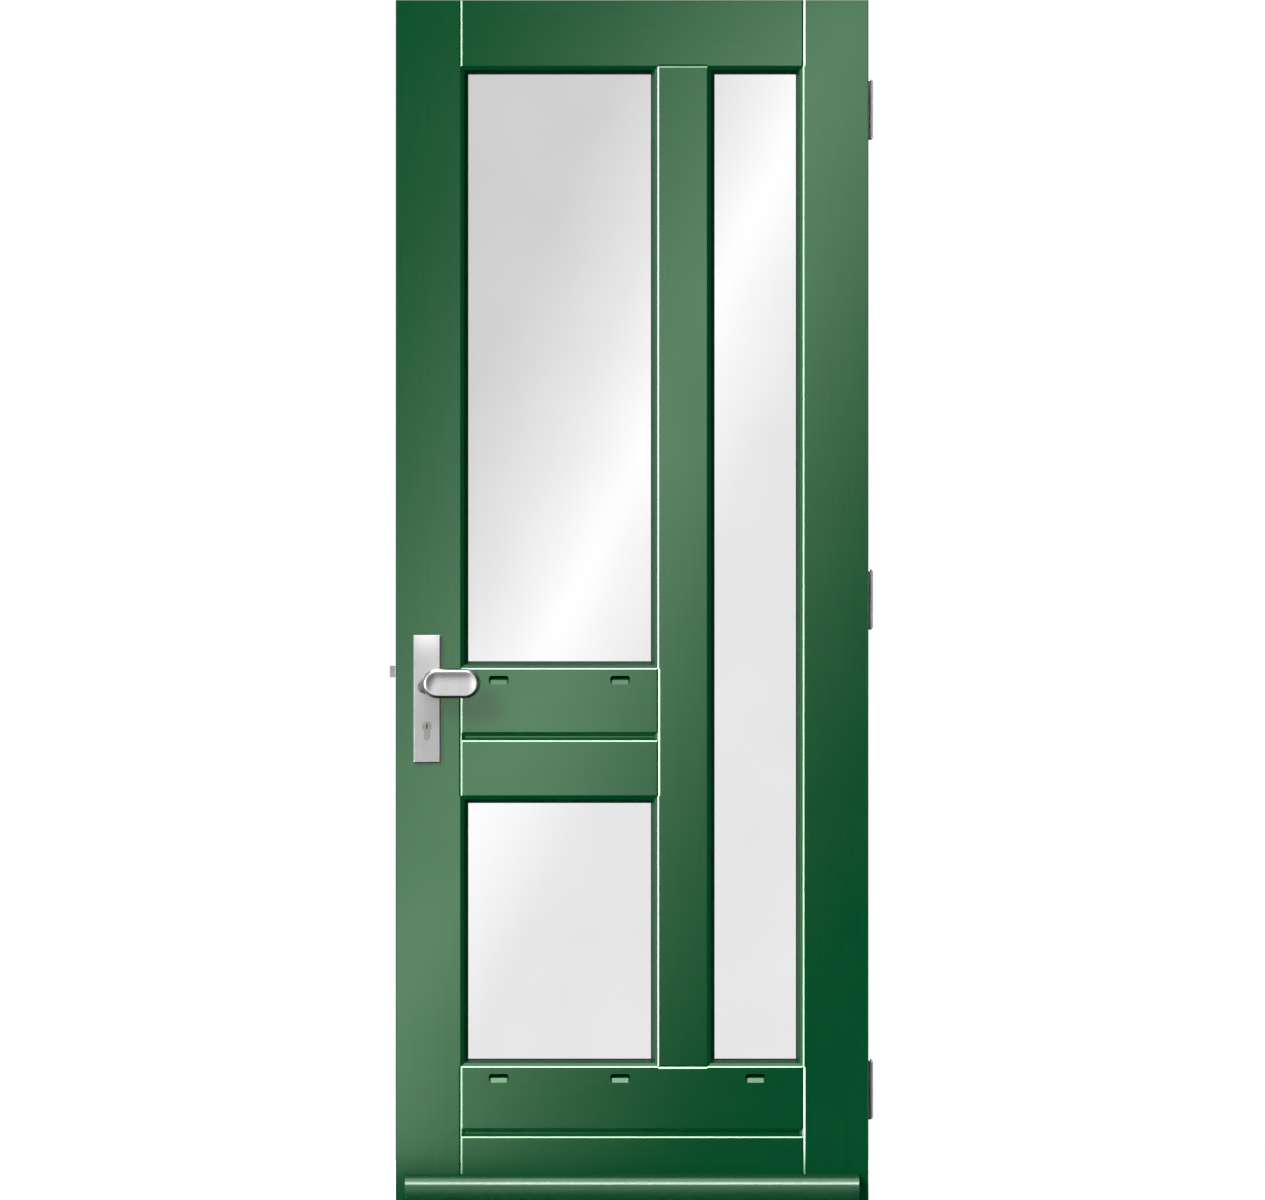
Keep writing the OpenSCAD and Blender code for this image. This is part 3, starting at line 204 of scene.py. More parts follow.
# %% Clear glass
LIGHTS = ("upper", "lower", "side")
GLASS_DARK, GLASS_LIGHT = (0.975, 0.975, 0.975), (0.99, 0.99, 0.99)
GLASS_IOR = 1.45
WAVE, WAVE_DETAIL, WAVE_DEPTH = every_way(6.0), 1.0, 1e-5
clear_glass, tree, shader = new_finish("clear_glass")
wave = pattern(tree, WAVE, WAVE_DETAIL)
tree.links.new(shade(tree, wave, GLASS_DARK, GLASS_LIGHT), shader.inputs["Base Color"])
shader.inputs["Roughness"].default_value = 0.0
shader.inputs["Transmission Weight"].default_value = 1.0
shader.inputs["IOR"].default_value = GLASS_IOR
relief(tree, shader, (wave, WAVE_DEPTH))
dress(clear_glass, *[f"{light}_{side}_pane" for light in LIGHTS for side in ("outer", "inner")])

# %% Rubber seals and setting blocks
GRAIN_DEPTH = 2e-5


def dull_finish(name, per_metre, detail, dark, light, rough):
    """A dull material with one fine grain in colour, roughness and relief."""
    finish, tree, shader = new_finish(name)
    grain = pattern(tree, every_way(per_metre), detail)
    tree.links.new(shade(tree, grain, dark, light), shader.inputs["Base Color"])
    tree.links.new(spread(tree, grain, *rough), shader.inputs["Roughness"])
    relief(tree, shader, (grain, GRAIN_DEPTH))
    return finish


black_rubber = dull_finish("black_rubber", 900.0, 4.0,
                           (0.008, 0.008, 0.0075), (0.016, 0.016, 0.015), (0.55, 0.75))
grey_plastic = dull_finish("grey_plastic", 700.0, 3.0,
                           (0.17, 0.17, 0.17), (0.23, 0.23, 0.23), (0.45, 0.6))
dress(black_rubber, *[f"{light}_{part}" for light in LIGHTS for part in ("gasket", "tape")])
dress(grey_plastic, "setting_blocks")

# %% [markdown]
# ## Metals
# The plates, knob and lever are satin anodised aluminium; the hinges are brushed stainless steel; the lock
# is zinc plated and nickel plated. One recipe serves all: a metal colour with faint clouds, brushing
# stretched along the length, and a roughness that follows the brushing.

# %% One recipe for eight metals
UP_AND_DOWN = (2500.0, 2500.0, 60.0)
ACROSS = (60.0, 2500.0, 2500.0)
ALL_WAYS = every_way(1400.0)
BRUSHING_DETAIL = 5.0
CLOUD, CLOUD_DETAIL = every_way(35.0), 3.0


def metal(name, dark, light, rough, brushing, depth):
    """Metal between two colours and two roughnesses, brushed in one direction to a depth in metres."""
    finish, tree, shader = new_finish(name)
    lines = pattern(tree, brushing, BRUSHING_DETAIL)
    cloud = pattern(tree, CLOUD, CLOUD_DETAIL)
    tree.links.new(shade(tree, cloud, dark, light), shader.inputs["Base Color"])
    tree.links.new(spread(tree, lines, *rough), shader.inputs["Roughness"])
    shader.inputs["Metallic"].default_value = 1.0
    relief(tree, shader, (lines, depth))
    return finish


satin_aluminium = metal("satin_aluminium", (0.605, 0.605, 0.60), (0.655, 0.655, 0.65),
                        (0.34, 0.42), UP_AND_DOWN, 1e-6)
satin_grip = metal("satin_aluminium_grip", (0.72, 0.72, 0.715), (0.78, 0.78, 0.775),
                   (0.26, 0.34), ACROSS, 1e-6)
hinge_steel = metal("brushed_hinge_steel", (0.54, 0.54, 0.54), (0.62, 0.62, 0.615),
                    (0.28, 0.42), UP_AND_DOWN, 4e-6)
zinc_steel = metal("zinc_plated_steel", (0.50, 0.51, 0.53), (0.60, 0.60, 0.58),
                   (0.30, 0.45), ALL_WAYS, 3e-6)
nickel = metal("satin_nickel", (0.44, 0.435, 0.42), (0.51, 0.505, 0.49),
               (0.32, 0.42), UP_AND_DOWN, 2e-6)
nickel_brass = metal("nickel_plated_brass", (0.43, 0.42, 0.395), (0.50, 0.49, 0.465),
                     (0.32, 0.42), ALL_WAYS, 2e-6)
ring_brass = metal("bearing_brass", (0.60, 0.42, 0.16), (0.74, 0.54, 0.24),
                   (0.25, 0.4), ALL_WAYS, 3e-6)
spacer_metal = metal("spacer_aluminium", (0.55, 0.55, 0.55), (0.66, 0.66, 0.66),
                     (0.35, 0.5), ALL_WAYS, 3e-6)

# %% Metals on their solids
HINGES = ("bottom", "middle", "top")
HINGE_PARTS = ("door_flap", "frame_flap", "pin")
dress(satin_aluminium, "outer_plate", "inner_plate")
dress(satin_grip, "knob", "lever")
dress(hinge_steel, *[f"{place}_{part}" for place in HINGES for part in HINGE_PARTS])
dress(ring_brass, "hinge_rings")
dress(zinc_steel, "knob_stud", "spindle", "lock_case", "lock_cover", "latch_spring", "follower",
      "cylinder_cam")
dress(nickel, "forend", "latch_bolt", "dead_bolt", "cylinder_body")
dress(nickel_brass, "outer_plug", "inner_plug")
dress(spacer_metal, *[f"{light}_spacer" for light in LIGHTS])

# %% [markdown]
# ## Softer copies
# A cast, pressed or planed piece has small rounds on its edges, and they are what catches the light. The
# CAD solids have crisp edges. A round could be drawn in CAD, but a merged copy with a Bevel modifier gives
# the same round with far less work, so bar, plates, knob, lever, lock front, bolts and hinges get copies.

# %% Merged and rounded copies
WELD = 2e-6
FLAT_ANGLE = math.radians(0.3)
CREASE, BAR_CREASE = math.radians(32), math.radians(15)


def merged_copy(name, ending):
    """A copy of a CAD node whose loose triangles are joined, with smooth shading."""
    piece = bpy.data.objects.new(name + ending, solids[name].data.copy())
    scene.collection.objects.link(piece)
    mesh = piece.data
    if "custom_normal" in mesh.attributes:
        mesh.attributes.remove(mesh.attributes["custom_normal"])
    welded = bmesh.new()
    welded.from_mesh(mesh)
    bmesh.ops.remove_doubles(welded, verts=welded.verts, dist=WELD)
    bmesh.ops.dissolve_limit(welded, angle_limit=FLAT_ANGLE, verts=welded.verts, edges=welded.edges)
    welded.to_mesh(mesh)
    welded.free()
    mesh.shade_smooth()
    return piece


def eased_copy(name, body, width, crease=CREASE):
    """A merged copy of a CAD node with small rounds on its edges, which replaces the node."""
    piece = merged_copy(name, "_eased")
    rounding = piece.modifiers.new("rounding", "BEVEL")
    rounding.width = width
    rounding.segments = 2
    rounding.limit_method = "ANGLE"
    rounding.angle_limit = crease
    flatten = piece.modifiers.new("flatten", "WEIGHTED_NORMAL")
    flatten.weight = 100
    evaluated = piece.evaluated_get(bpy.context.evaluated_depsgraph_get())
    finished = bpy.data.meshes.new_from_object(evaluated)
    piece.modifiers.clear()
    piece.data = finished
    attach(piece, body)
    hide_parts(name)
    print(piece.name, finished.materials[0].name, len(finished.polygons), "faces")


# %% Copies of bar, furniture, bolts and hinges
BAR_ROUND, PLATE_ROUND, GRIP_ROUND, FINE_ROUND = 0.0005, 0.0008, 0.0006, 0.0003
eased_copy("weather_bar", "leaf", BAR_ROUND, BAR_CREASE)
eased_copy("outer_plate", "leaf", PLATE_ROUND)
eased_copy("knob", "leaf", GRIP_ROUND)
eased_copy("inner_plate", "leaf", PLATE_ROUND)
eased_copy("lever", "lever_set", GRIP_ROUND)
eased_copy("forend", "leaf", FINE_ROUND)
eased_copy("latch_bolt", "latch", FINE_ROUND)
eased_copy("dead_bolt", "dead_bolt", FINE_ROUND)
for place in HINGES:
    eased_copy(f"{place}_door_flap", "leaf", FINE_ROUND)
    eased_copy(f"{place}_frame_flap", "frame_hinges", FINE_ROUND)
    eased_copy(f"{place}_pin", "frame_hinges", FINE_ROUND)

# %% [markdown]
# ## The latch spring
# When the lever draws the latch in, the latch presses its spring together inside the lock case. A rigid
# copy would be run through by the latch. Here the spring gets a merged copy with sharp edges above a crease
# angle, and it stays rigid.

# %% Latch spring
SPRING_CREASE = math.radians(40)
low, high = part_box("latch_spring")
spring = merged_copy("latch_spring", "_coil")
spring.data.set_sharp_from_angle(angle=SPRING_CREASE)
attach(spring, "leaf")
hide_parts("latch_spring")
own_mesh(spring)

# %% [markdown]
# ## Screws with cross recesses
# Screws repeat, so Geometry Nodes make them: a tree builds one countersunk screw from its sizes, cuts a
# cross recess in its head, and puts a copy on every point of a small mesh that holds only the screw places.
# Sizes are inputs of the tree, so hinge screws, lock screws and through bolts all come from one tree.


# %% Numbers in node trees
def feed(tree, socket, value):
    """Set a socket to a plain number, or link it to another socket."""
    if isinstance(value, (int, float)):
        socket.default_value = value
    else:
        tree.links.new(value, socket)


def number(tree, kind, *values):
    """One step of arithmetic; each value is a socket or a plain number."""
    node = tree.nodes.new("ShaderNodeMath")
    node.operation = kind
    for socket, value in zip(node.inputs, values):
        feed(tree, socket, value)
    return node.outputs["Value"]


def vector(tree, x, y, z):
    """A vector of sockets or plain numbers."""
    node = tree.nodes.new("ShaderNodeCombineXYZ")
    for socket, value in zip(node.inputs, (x, y, z)):
        feed(tree, socket, value)
    return node.outputs["Vector"]


# %% Head and shank of a screw
HEAD_SIDES, SHANK_SIDES = 40, 24
CROSS_REACH = 1.05


def lifted(tree, mesh, height):
    """A mesh moved along z."""
    node = tree.nodes.new("GeometryNodeTransform")
    tree.links.new(mesh, node.inputs["Geometry"])
    tree.links.new(vector(tree, 0.0, 0.0, height), node.inputs["Translation"])
    return node.outputs["Geometry"]


def screw_head(tree, given):
    """A countersunk head whose top is at z = 0, with two bars cut out of it as a cross."""
    head = tree.nodes.new("GeometryNodeMeshCone")
    head.inputs["Vertices"].default_value = HEAD_SIDES
    tree.links.new(given["Head Radius"], head.inputs["Radius Top"])
    tree.links.new(given["Shank Radius"], head.inputs["Radius Bottom"])
    tree.links.new(given["Head Depth"], head.inputs["Depth"])
    head_low = number(tree, "MULTIPLY", given["Head Depth"], -1.0)
    cut = tree.nodes.new("GeometryNodeMeshBoolean")
    cut.operation = "DIFFERENCE"
    tree.links.new(lifted(tree, head.outputs["Mesh"], head_low), cut.inputs["Mesh 1"])
    reach = number(tree, "MULTIPLY", given["Head Radius"], CROSS_REACH)
    depth = number(tree, "MULTIPLY", given["Recess Depth"], 2.0)
    wide = given["Recess Width"]
    for size in (vector(tree, reach, wide, depth), vector(tree, wide, reach, depth)):
        bar = tree.nodes.new("GeometryNodeMeshCube")
        tree.links.new(size, bar.inputs["Size"])
        tree.links.new(bar.outputs["Mesh"], cut.inputs["Mesh 2"])
    return cut.outputs["Mesh"]


def screw_shank(tree, given):
    """A plain shank from under the head to the screw's end."""
    shank = tree.nodes.new("GeometryNodeMeshCylinder")
    shank.inputs["Vertices"].default_value = SHANK_SIDES
    tree.links.new(given["Shank Radius"], shank.inputs["Radius"])
    shank_length = number(tree, "SUBTRACT", given["Length"], given["Head Depth"])
    tree.links.new(shank_length, shank.inputs["Depth"])
    ends = number(tree, "ADD", given["Length"], given["Head Depth"])
    return lifted(tree, shank.outputs["Mesh"], number(tree, "MULTIPLY", ends, -0.5))


# %% The screw tree
SCREW_SIZES = ("Head Radius", "Head Depth", "Shank Radius", "Length", "Recess Width", "Recess Depth")


def screw_tree():
    """A tree that makes one screw and puts a copy on every place."""
    tree = bpy.data.node_groups.new("cross_head_screws", "GeometryNodeTree")
    face = tree.interface
    face.new_socket("Places", in_out="INPUT", socket_type="NodeSocketGeometry")
    for size in SCREW_SIZES:
        face.new_socket(size, in_out="INPUT", socket_type="NodeSocketFloat")
    face.new_socket("Turn", in_out="INPUT", socket_type="NodeSocketVector")
    face.new_socket("Finish", in_out="INPUT", socket_type="NodeSocketMaterial")
    face.new_socket("Screws", in_out="OUTPUT", socket_type="NodeSocketGeometry")
    given = tree.nodes.new("NodeGroupInput").outputs
    result = tree.nodes.new("NodeGroupOutput")
    whole = tree.nodes.new("GeometryNodeJoinGeometry")
    tree.links.new(screw_head(tree, given), whole.inputs["Geometry"])
    tree.links.new(screw_shank(tree, given), whole.inputs["Geometry"])
    copies = tree.nodes.new("GeometryNodeInstanceOnPoints")
    tree.links.new(given["Places"], copies.inputs["Points"])
    tree.links.new(whole.outputs["Geometry"], copies.inputs["Instance"])
    tree.links.new(given["Turn"], copies.inputs["Rotation"])
    real = tree.nodes.new("GeometryNodeRealizeInstances")
    tree.links.new(copies.outputs["Instances"], real.inputs["Geometry"])
    painted = tree.nodes.new("GeometryNodeSetMaterial")
    tree.links.new(real.outputs["Geometry"], painted.inputs["Geometry"])
    tree.links.new(given["Finish"], painted.inputs["Material"])
    tree.links.new(painted.outputs["Geometry"], result.inputs["Screws"])
    return tree


SCREWS = screw_tree()
print("screw tree with", len(SCREWS.nodes), "nodes")

# %% Screws as one piece
SCREW_CREASE = math.radians(30)


def screws(name, node, places, sizes, turn):
    """One piece of real screws at these places, which replaces the plain screws of a CAD node."""
    points = bpy.data.meshes.new(name + "_places")
    points.from_pydata(places, [], [])
    piece = bpy.data.objects.new(name, points)
    scene.collection.objects.link(piece)
    maker = piece.modifiers.new("screws", "NODES")
    maker.node_group = SCREWS
    values = dict(zip(SCREW_SIZES, sizes))
    values["Turn"] = turn
    values["Finish"] = zinc_steel
    for item in SCREWS.interface.items_tree:
        if item.in_out == "INPUT" and item.name in values:
            maker[item.identifier] = values[item.name]
    evaluated = piece.evaluated_get(bpy.context.evaluated_depsgraph_get())
    made = bpy.data.meshes.new_from_object(evaluated)
    piece.modifiers.remove(maker)
    piece.data = made
    made.shade_smooth()
    made.set_sharp_from_angle(angle=SCREW_CREASE)
    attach(piece, "leaf")
    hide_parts(node)
    print(name, len(places), "screws", len(made.polygons), "faces")


# %% Hinge screws
RIGHT = (0.0, math.pi / 2, 0.0)
CROSS = (0.0011, 0.0014)
HINGE_SCREW = (0.0048, 0.002, 0.0024)
low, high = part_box("hinge_screws")
hinge_places = []
for mount in frame["record"]["mounts"]:
    if mount["kind"] == "bolt_pattern":
        middle = mount["pos_m"]
        half_y = mount["dims"]["spacing_x_mm"] / 2000
        half_z = mount["dims"]["spacing_y_mm"] / 2000
        for side_y in (-half_y, half_y):
            for side_z in (-half_z, half_z):
                hinge_places.append((high.x, middle[1] + side_y, middle[2] + side_z))
screws("hinge_wood_screws", "hinge_screws", hinge_places, (*HINGE_SCREW, high.x - low.x, *CROSS), RIGHT)

# %% Screws of lock, cylinder and plates
LEFT = (0.0, -math.pi / 2, 0.0)
INSIDE = (-math.pi / 2, 0.0, 0.0)
SMALL_CROSS, BOLT_CROSS = (0.0009, 0.0012), (0.0011, 0.0018)
LOCK_HEAD_DEPTH, BOLT_HEAD_DEPTH = 0.0021, 0.003
LOCK_HEAD_TO_SHANK, BOLT_HEAD_TO_SHANK = 1.9, 2.0

low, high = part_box("forend_screws")
head = (high.y - low.y) / 2
edge_y = (low.y + high.y) / 2
screws("forend_wood_screws", "forend_screws",
       [(low.x, edge_y, low.z + head), (low.x, edge_y, high.z - head)],
       (head, LOCK_HEAD_DEPTH, head / LOCK_HEAD_TO_SHANK, high.x - low.x, *SMALL_CROSS), LEFT)

low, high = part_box("cylinder_screw")
head = (high.y - low.y) / 2
screws("cylinder_fixing_screw", "cylinder_screw",
       [(low.x, (low.y + high.y) / 2, (low.z + high.z) / 2)],
       (head, LOCK_HEAD_DEPTH, head / LOCK_HEAD_TO_SHANK, high.x - low.x, *CROSS), LEFT)

low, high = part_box("plate_bolts")
head = (high.x - low.x) / 2
screws("plate_through_bolts", "plate_bolts",
       [(low.x + head, high.y, low.z + head), (low.x + head, high.y, high.z - head)],
       (head, BOLT_HEAD_DEPTH, head / BOLT_HEAD_TO_SHANK, high.y - low.y, *BOLT_CROSS), INSIDE)

# %% [markdown]
# ## Camera
# The photograph is a straight front view, so flat that its lens must have been very long. The camera looks
# along the door's Y axis from far away, and the frame's width and middle are set in metres on the outside
# face of the leaf.

# %% A long lens in front of the door
IMAGE_W, IMAGE_H = 1265, 1200
METRES_PER_PIXEL = 0.0017555
LENS = 300.0
SENSOR = 36.0
VIEW_ASIDE = 0.0007
VIEW_END = 100.0
view_width = IMAGE_W * METRES_PER_PIXEL
view_height = IMAGE_H * METRES_PER_PIXEL
away = view_width * LENS / SENSOR
view_x = leaf_middle.x + VIEW_ASIDE
view_z = leaf_high.z - view_height / 2
camera_data = bpy.data.cameras.new("front_view")
camera_data.lens = LENS
camera_data.sensor_width = SENSOR
camera_data.clip_end = VIEW_END
camera = bpy.data.objects.new("front_view", camera_data)
scene.collection.objects.link(camera)
camera.location = (view_x, leaf_front - away, view_z)
camera.rotation_euler = (math.pi / 2, 0.0, 0.0)
scene.camera = camera
print("camera", [round(v, 3) for v in camera.location])

# %% [markdown]
# ## White background
# The door stands before plain white. The world is white for the camera and through the glass, and gives a
# little light to dull surfaces. Gloss paint would turn milky if it mirrored all that white, so a ray that
# has been mirrored sees a dim room instead, which is lighter towards the upper left.


# %% Helpers for light
def step_between(tree, value, from_low, from_high, low, high):
    """A smooth change from low to high while value goes from from_low to from_high."""
    node = tree.nodes.new("ShaderNodeMapRange")
    node.interpolation_type = "SMOOTHSTEP"
    tree.links.new(value, node.inputs["Value"])
    for name, amount in zip(("From Min", "From Max", "To Min", "To Max"), (from_low, from_high, low, high)):
        node.inputs[name].default_value = amount
    return node.outputs["Result"]


def after_mirror(tree, path):
    """One for a ray that has been mirrored, else nought."""
    return number(tree, "MINIMUM", path.outputs["Glossy Depth"], 1.0)


def blend_of(tree, share, first, second):
    """A number between first and second."""
    node = tree.nodes.new("ShaderNodeMix")
    node.data_type = "FLOAT"
    for socket, value in zip(node.inputs[0:1] + node.inputs[2:4], (share, first, second)):
        feed(tree, socket, value)
    return node.outputs[0]


# %% White world with a dim room for mirrors
ROOM_LIGHT = 0.22
DARK_ROOM, LIT_ROOM, BACK_ROOM = 0.03, 0.5, 0.35
SIDE_X, SIDE_Z = -0.7, 0.7
FRONT_FADE, BACK_FADE, TURN_BACK = (-0.05, 0.5), (-0.35, 0.35), (-0.1, 0.15)
world = bpy.data.worlds.new("white_studio")
scene.world = world
world.use_nodes = True
tree = world.node_tree
tree.nodes.clear()
output = tree.nodes.new("ShaderNodeOutputWorld")
backdrop = tree.nodes.new("ShaderNodeBackground")
backdrop.inputs["Color"].default_value = (1.0, 1.0, 1.0, 1.0)
path = tree.nodes.new("ShaderNodeLightPath")
direction = tree.nodes.new("ShaderNodeTexCoord")
split = tree.nodes.new("ShaderNodeSeparateXYZ")
tree.links.new(direction.outputs["Generated"], split.inputs["Vector"])
toward_left = number(tree, "MULTIPLY", split.outputs["X"], SIDE_X)
toward_light = number(tree, "MULTIPLY_ADD", split.outputs["Z"], SIDE_Z, toward_left)
in_front = step_between(tree, toward_light, *FRONT_FADE, DARK_ROOM, LIT_ROOM)
behind = step_between(tree, toward_light, *BACK_FADE, 0.0, BACK_ROOM)
is_behind = step_between(tree, split.outputs["Y"], *TURN_BACK, 0.0, 1.0)
mirrored = blend_of(tree, is_behind, in_front, behind)
seen = number(tree, "MAXIMUM", path.outputs["Is Camera Ray"], path.outputs["Is Transmission Ray"])
diffuse = number(tree, "MULTIPLY", path.outputs["Is Diffuse Ray"], ROOM_LIGHT)
level = blend_of(tree, after_mirror(tree, path), number(tree, "MAXIMUM", seen, diffuse), mirrored)
tree.links.new(level, backdrop.inputs["Strength"])
tree.links.new(backdrop.outputs[0], output.inputs["Surface"])
print("white world with a room of", DARK_ROOM, "to", LIT_ROOM, "for mirrors")

# %% [markdown]
# ## Pale floor
# A round floor lies just under the leaf and keeps its shadow. It is pale and glows a little, so that it
# melts into the white. Mirrored in the gloss it would whiten the foot of the door, so a ray that has been
# mirrored sees only its back half, dimly, and nothing of it through glass.


# %% Helpers for glowing surfaces
def glowing(name):
    """A material of plain light, with its tree and its light node."""
    finish = bpy.data.materials.new(name)
    finish.use_nodes = True
    tree = finish.node_tree
    tree.nodes.clear()
    glow = tree.nodes.new("ShaderNodeEmission")
    output = tree.nodes.new("ShaderNodeOutputMaterial")
    tree.links.new(glow.outputs[0], output.inputs["Surface"])
    return finish, tree, glow


def either_surface(tree, share, first, second):
    """Show the first shader where share is nought and the second where it is one."""
    mix = tree.nodes.new("ShaderNodeMixShader")
    for socket, value in zip(mix.inputs, (share, first, second)):
        tree.links.new(value, socket)
    tree.links.new(mix.outputs[0], tree.nodes["Material Output"].inputs["Surface"])


# %% Floor
FLOOR_GAP = 0.012
FLOOR_R = 1.7
FLOOR_SIDES = 96
FLOOR_COLOUR = (0.80, 0.80, 0.80, 1.0)
FLOOR_GLOW, FLOOR_GLASS_GLOW, FLOOR_MIRRORED = 0.42, 0.25, 0.35
FLOOR_BACK = (0.0, 0.3)
floor_z = leaf_low.z - FLOOR_GAP
rim = []
for step in range(FLOOR_SIDES):
    turn = step * math.tau / FLOOR_SIDES
    rim.append((leaf_middle.x + FLOOR_R * math.cos(turn), FLOOR_R * math.sin(turn), floor_z))
floor_mesh = bpy.data.meshes.new("floor")
floor_mesh.from_pydata(rim, [], [tuple(range(FLOOR_SIDES))])
floor = bpy.data.objects.new("floor", floor_mesh)
scene.collection.objects.link(floor)
floor_finish, tree, glow = glowing("pale_floor")
floor_mesh.materials.append(floor_finish)
path = tree.nodes.new("ShaderNodeLightPath")
to_camera = number(tree, "MULTIPLY", path.outputs["Is Camera Ray"], FLOOR_GLOW)
glow_level = number(tree, "MULTIPLY_ADD", path.outputs["Is Transmission Ray"], FLOOR_GLASS_GLOW, to_camera)
tree.links.new(glow_level, glow.inputs["Strength"])
lit = tree.nodes.new("ShaderNodeBsdfDiffuse")
lit.inputs["Color"].default_value = FLOOR_COLOUR
both = tree.nodes.new("ShaderNodeAddShader")
tree.links.new(lit.outputs[0], both.inputs[0])
tree.links.new(glow.outputs[0], both.inputs[1])
place = tree.nodes.new("ShaderNodeTexCoord")
split = tree.nodes.new("ShaderNodeSeparateXYZ")
tree.links.new(place.outputs["Object"], split.inputs["Vector"])
back_half = step_between(tree, split.outputs["Y"], *FLOOR_BACK, 0.0, FLOOR_MIRRORED)
no_glass = number(tree, "LESS_THAN", path.outputs["Transmission Depth"], 0.5)
mirrored = tree.nodes.new("ShaderNodeEmission")
tree.links.new(number(tree, "MULTIPLY", back_half, no_glass), mirrored.inputs["Strength"])
either_surface(tree, after_mirror(tree, path), both.outputs[0], mirrored.outputs[0])
print("floor at", round(floor_z, 4))

# %% [markdown]
# ## Soft lamps
# Lamps give the paint its own colour and cast the soft shadows of the knob, the plate and the mouldings.
# The main lamp stands high on the left, as in the photograph, where shadows fall to the lower right. The
# lamps themselves are kept out of mirrors: what the gloss shows comes from the cards of the next step.


# %% Lamps
def soft_lamp(name, toward, far, size, level):
    """A square lamp that looks at the middle of the leaf; level is how bright it makes a white face."""
    toward = Vector(toward).normalized()
    facing = abs(toward.y)
    radiance = level * math.pi * far * far / (size * size * facing)
    lamp = bpy.data.lights.new(name, "AREA")
    lamp.size = size
    lamp.energy = radiance * math.pi * size * size
    piece = bpy.data.objects.new(name, lamp)
    scene.collection.objects.link(piece)
    piece.location = leaf_middle + toward * far
    piece.rotation_euler = toward.to_track_quat("Z", "Y").to_euler()
    piece.visible_camera = False
    piece.visible_glossy = False
    piece.visible_transmission = False
    print(name, round(lamp.energy, 1), "W")


soft_lamp("main_lamp", (-0.55, -0.70, 0.50), 9.0, 2.9, 0.86)
soft_lamp("fill_lamp", (0.50, -0.80, 0.10), 5.0, 2.0, 0.04)
soft_lamp("back_lamp_left", (-0.55, 0.75, 0.40), 5.0, 2.0, 0.40)
soft_lamp("back_lamp_right", (0.70, 0.60, 0.30), 5.0, 2.0, 0.35)

# %% [markdown]
# ## Cards that only mirrors see
# Gloss paint is drawn by what it mirrors. A bevel that is turned by some angle mirrors what stands at twice
# that angle. So a bright strip at about fifty degrees on the left whitens every upright arris that faces
# it, a bright strip at fifty degrees above whitens the level ones, and softer cards beside them give the
# wider bevels a calm glow. Cards stand far away, so that the whole height of the door mirrors the same
# card. They shine at the first mirror bounce only, or glass would throw the strips on the bevels round it.


# %% Helpers for cards
def mirror_only(piece):
    """Keep a card out of every ray but mirror rays."""
    piece.visible_camera = False
    piece.visible_diffuse = False
    piece.visible_transmission = False
    piece.visible_shadow = False
    piece.visible_volume_scatter = False


def flat_card(name, corners):
    """A card with four corners."""
    mesh = bpy.data.meshes.new(name)
    mesh.from_pydata([tuple(corner) for corner in corners], [], [(0, 1, 2, 3)])
    piece = bpy.data.objects.new(name, mesh)
    scene.collection.objects.link(piece)
    return piece


# %% Cards on the left, on the right and above
CARD_FAR = 60.0
HALF_TALL, STRIP_TALL = 0.27, 0.12
HALF_WIDE = 0.18


def far_card(name, side, first, last, radiance, half):
    """A card between two angles off the front axis; half is its half length for each metre of distance."""
    sign = 1 if side == "right" else -1
    corners = []
    for angle, end in ((first, -1), (last, -1), (last, 1), (first, 1)):
        out = CARD_FAR * math.sin(math.radians(angle))
        front = -CARD_FAR * math.cos(math.radians(angle))
        along = end * CARD_FAR * half
        offset = (along, front, out) if side == "top" else (sign * out, front, along)
        corners.append(leaf_middle + Vector(offset))
    piece = flat_card(name, corners)
    finish, tree, glow = glowing(name + "_glow")
    path = tree.nodes.new("ShaderNodeLightPath")
    first_mirror = number(tree, "LESS_THAN", path.outputs["Glossy Depth"], 1.5)
    tree.links.new(number(tree, "MULTIPLY", first_mirror, radiance), glow.inputs["Strength"])
    piece.data.materials.append(finish)
    mirror_only(piece)
    print(name, "at", first, "to", last, "degrees,", radiance)


far_card("left_front", "left", 13.0, 44.0, 1.8, HALF_TALL)
far_card("left_strip", "left", 44.0, 54.0, 28.0, STRIP_TALL)
far_card("left_soft", "left", 54.0, 84.0, 1.0, HALF_TALL)
far_card("right_side", "right", 88.0, 104.0, 0.7, HALF_TALL)
far_card("top_front", "top", 15.0, 42.0, 0.7, HALF_WIDE)
far_card("top_strip", "top", 42.0, 55.0, 22.0, HALF_WIDE)
far_card("top_fade", "top", 55.0, 56.0, 9.0, HALF_WIDE)
far_card("top_middle", "top", 56.0, 64.0, 2.6, HALF_WIDE)
far_card("top_soft", "top", 64.0, 73.0, 1.0, HALF_WIDE)
far_card("top_high", "top", 73.0, 88.0, 3.5, HALF_WIDE)

# %% [markdown]
# ## Cards with a bright band
# The flat face mirrors what stands behind the camera: a large dark card with one soft bright band that runs
# down from right to left. Its place is measured on the leaf as s = 0.902 x - 0.431 z, in metres from the
# middle of the leaf and its foot. The light falls off to both sides, on the right a little sooner. Behind
# the door stands a larger card with a much wider band, which gives the back its own soft fall of light.

# %% Helpers for the band
CARD_AWAY = 6.0
BAND_X, BAND_Z = 0.902, -0.431
BAND_MIDDLE = -0.540


